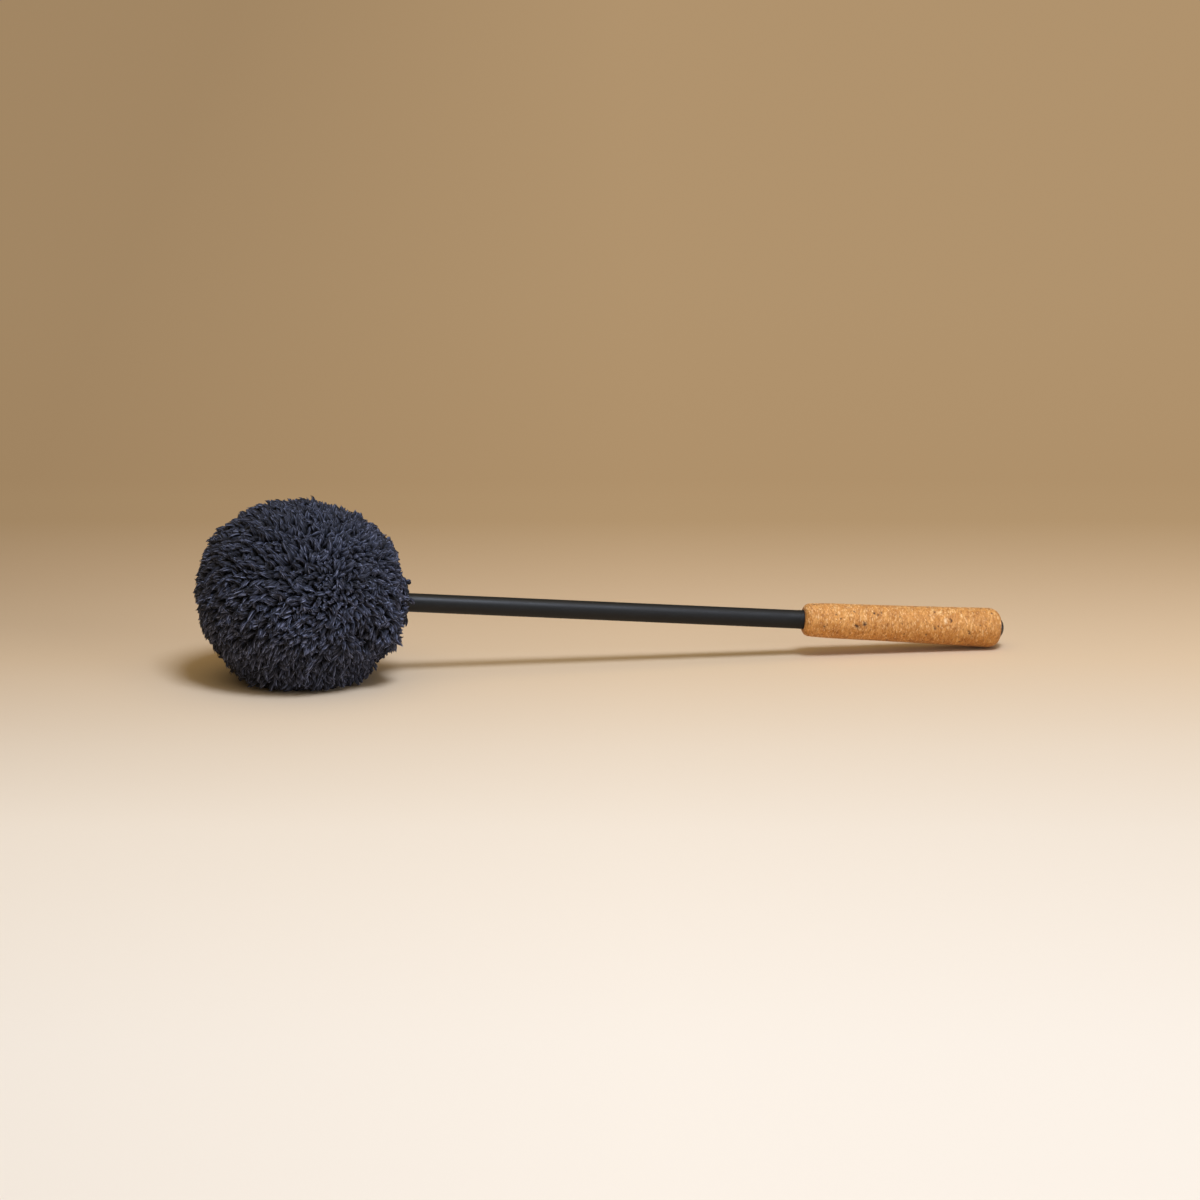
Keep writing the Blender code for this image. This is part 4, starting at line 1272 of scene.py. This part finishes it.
def pile(backing, material):
    """The pile: locks of fibres that share a root and close to a point, in one piece per sector."""
    chance = np.random.default_rng(SEED)
    section = bpy.data.curves.new("fibre_section", "CURVE")
    ring = section.splines.new("POLY")
    ring.points.add(2)
    for point, angle in zip(ring.points, (pi / 2, pi * 7 / 6, pi * 11 / 6)):
        point.co = (cos(angle), sin(angle), 0.0, 1.0)
    ring.use_cyclic_u = True
    section_thing = bpy.data.objects.new("fibre_section", section)
    sectors = [[] for _ in range(PILE_SECTORS)]
    for seat in lock_seats(backing, chance):
        out = seat.root - HEAD
        turn = atan2(out.y, out.z) / (2 * pi) + 0.5
        sectors[min(PILE_SECTORS - 1, int(turn * PILE_SECTORS))].append(seat)
    for number, members in enumerate(sectors):
        curve = bpy.data.curves.new("pile", "CURVE")
        curve.dimensions = "3D"
        curve.bevel_mode = "OBJECT"
        curve.bevel_object = section_thing
        curve.use_fill_caps = True
        shades = [shade for seat in members for shade in add_lock(curve, seat, chance)]
        thing = stand("pile", curve)
        mesh = bpy.data.meshes.new_from_object(as_shown(thing))
        bpy.data.objects.remove(thing)
        finish_pile(mesh, f"pile_{number + 1}", np.array(shades), material)
    bpy.data.objects.remove(section_thing)


def finish_pile(mesh, name, shades, material):
    """Give a sector of pile its map, along each fibre and across the shades, and put it in the scene."""
    rings = len(mesh.vertices) // len(shades)
    around = rings // FIBRE_POINTS
    index = np.arange(len(mesh.vertices))
    fibre, spot = index // rings, index % rings
    along = (spot // around) / (FIBRE_POINTS - 1)
    across = shades[fibre] + 0.008 * (spot % around)
    while mesh.uv_layers:
        mesh.uv_layers.remove(mesh.uv_layers[0])
    layer = mesh.uv_layers.new(name="OFBake")
    corner = np.zeros(len(mesh.loops), np.int32)
    mesh.loops.foreach_get("vertex_index", corner)
    layer.uv.foreach_set("vector", np.stack([0.02 + 0.96 * along[corner], across[corner]], 1).ravel())
    mesh.materials.clear()
    mesh.materials.append(material)
    mesh.shade_smooth()
    mesh.name = name
    thing = stand(name, mesh)
    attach(thing, BODY)


# Pieces inside


def soft_form(name, node, material, relief):
    """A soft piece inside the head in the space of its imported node, with a fibrous, uneven skin."""
    shape = bmesh.new()
    shape.from_mesh(NODES[node].data)
    bmesh.ops.remove_doubles(shape, verts=shape.verts, dist=1e-6)
    bmesh.ops.subdivide_edges(shape, edges=shape.edges[:], cuts=2, use_grid_fill=True)
    shape.normal_update()
    moves = [
        -relief * max(0.0, 0.5 + 0.3 * noise.noise(vertex.co * 180) + 0.2 * noise.noise(vertex.co * 900))
        for vertex in shape.verts
    ]
    for vertex, move in zip(shape.verts, moves):
        vertex.co += vertex.normal * move
    bmesh.ops.smooth_vert(shape, verts=shape.verts, factor=0.25, use_axis_x=True, use_axis_y=True,
                          use_axis_z=True)
    made = piece(name, shape, material)
    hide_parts(node)
    return made


def inner_pieces():
    """Soft pieces modelled anew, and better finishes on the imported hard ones."""
    white, grey = (fibre_finish(*looks) for looks in (
        ("white_filling", (0.60, 0.58, 0.53), (0.86, 0.84, 0.79), (0.74, 0.71, 0.64), 0.0012),
        ("grey_felt", (0.30, 0.29, 0.27), (0.52, 0.50, 0.47), (0.36, 0.34, 0.33), 0.0006),
    ))
    for name, node in (("filling_front", "padding_front"), ("filling_rear", "padding_rear")):
        soft_form(name, node, white, 0.0005)
    for name, node in (("felt_wrap", "felt_band"), ("felt_pad_front", "felt_disc_front"),
                       ("felt_pad_rear", "felt_disc_rear")):
        soft_form(name, node, grey, 0.00012)
    zinc, alloy, brass = (metal_finish(*looks) for looks in (
        ("zinc_steel", (0.58, 0.59, 0.60), (0.42, 0.43, 0.44), 0.0003, 0.32),
        ("turned_alloy", (0.72, 0.73, 0.74), (0.55, 0.56, 0.57), 0.0004, 0.28),
        ("turned_brass", (0.70, 0.50, 0.20), (0.45, 0.30, 0.12), 0.0003, 0.28),
    ))
    finishes = {
        "head_core": beech_finish(), "core_weight": zinc, "core_washer": zinc, "spring_washer": zinc,
        "core_screw": zinc, "stop_collar": alloy, "tube_insert": brass,
    }
    for node, material in finishes.items():
        for slot in NODES[node].material_slots:
            slot.material = material


# Main


def main():
    """Build the studio, then the mallet from outside to inside."""
    camera()
    sweep(paper_finish())
    room()
    lamps()
    satin_tube(lacquer_finish())
    cork_sleeve(cork_finish())
    domed_plug(moulding_finish())
    neck_thread(thread_finish())
    backing = fleece_backing(backing_finish())
    pile(backing, pile_finish())
    inner_pieces()


main()
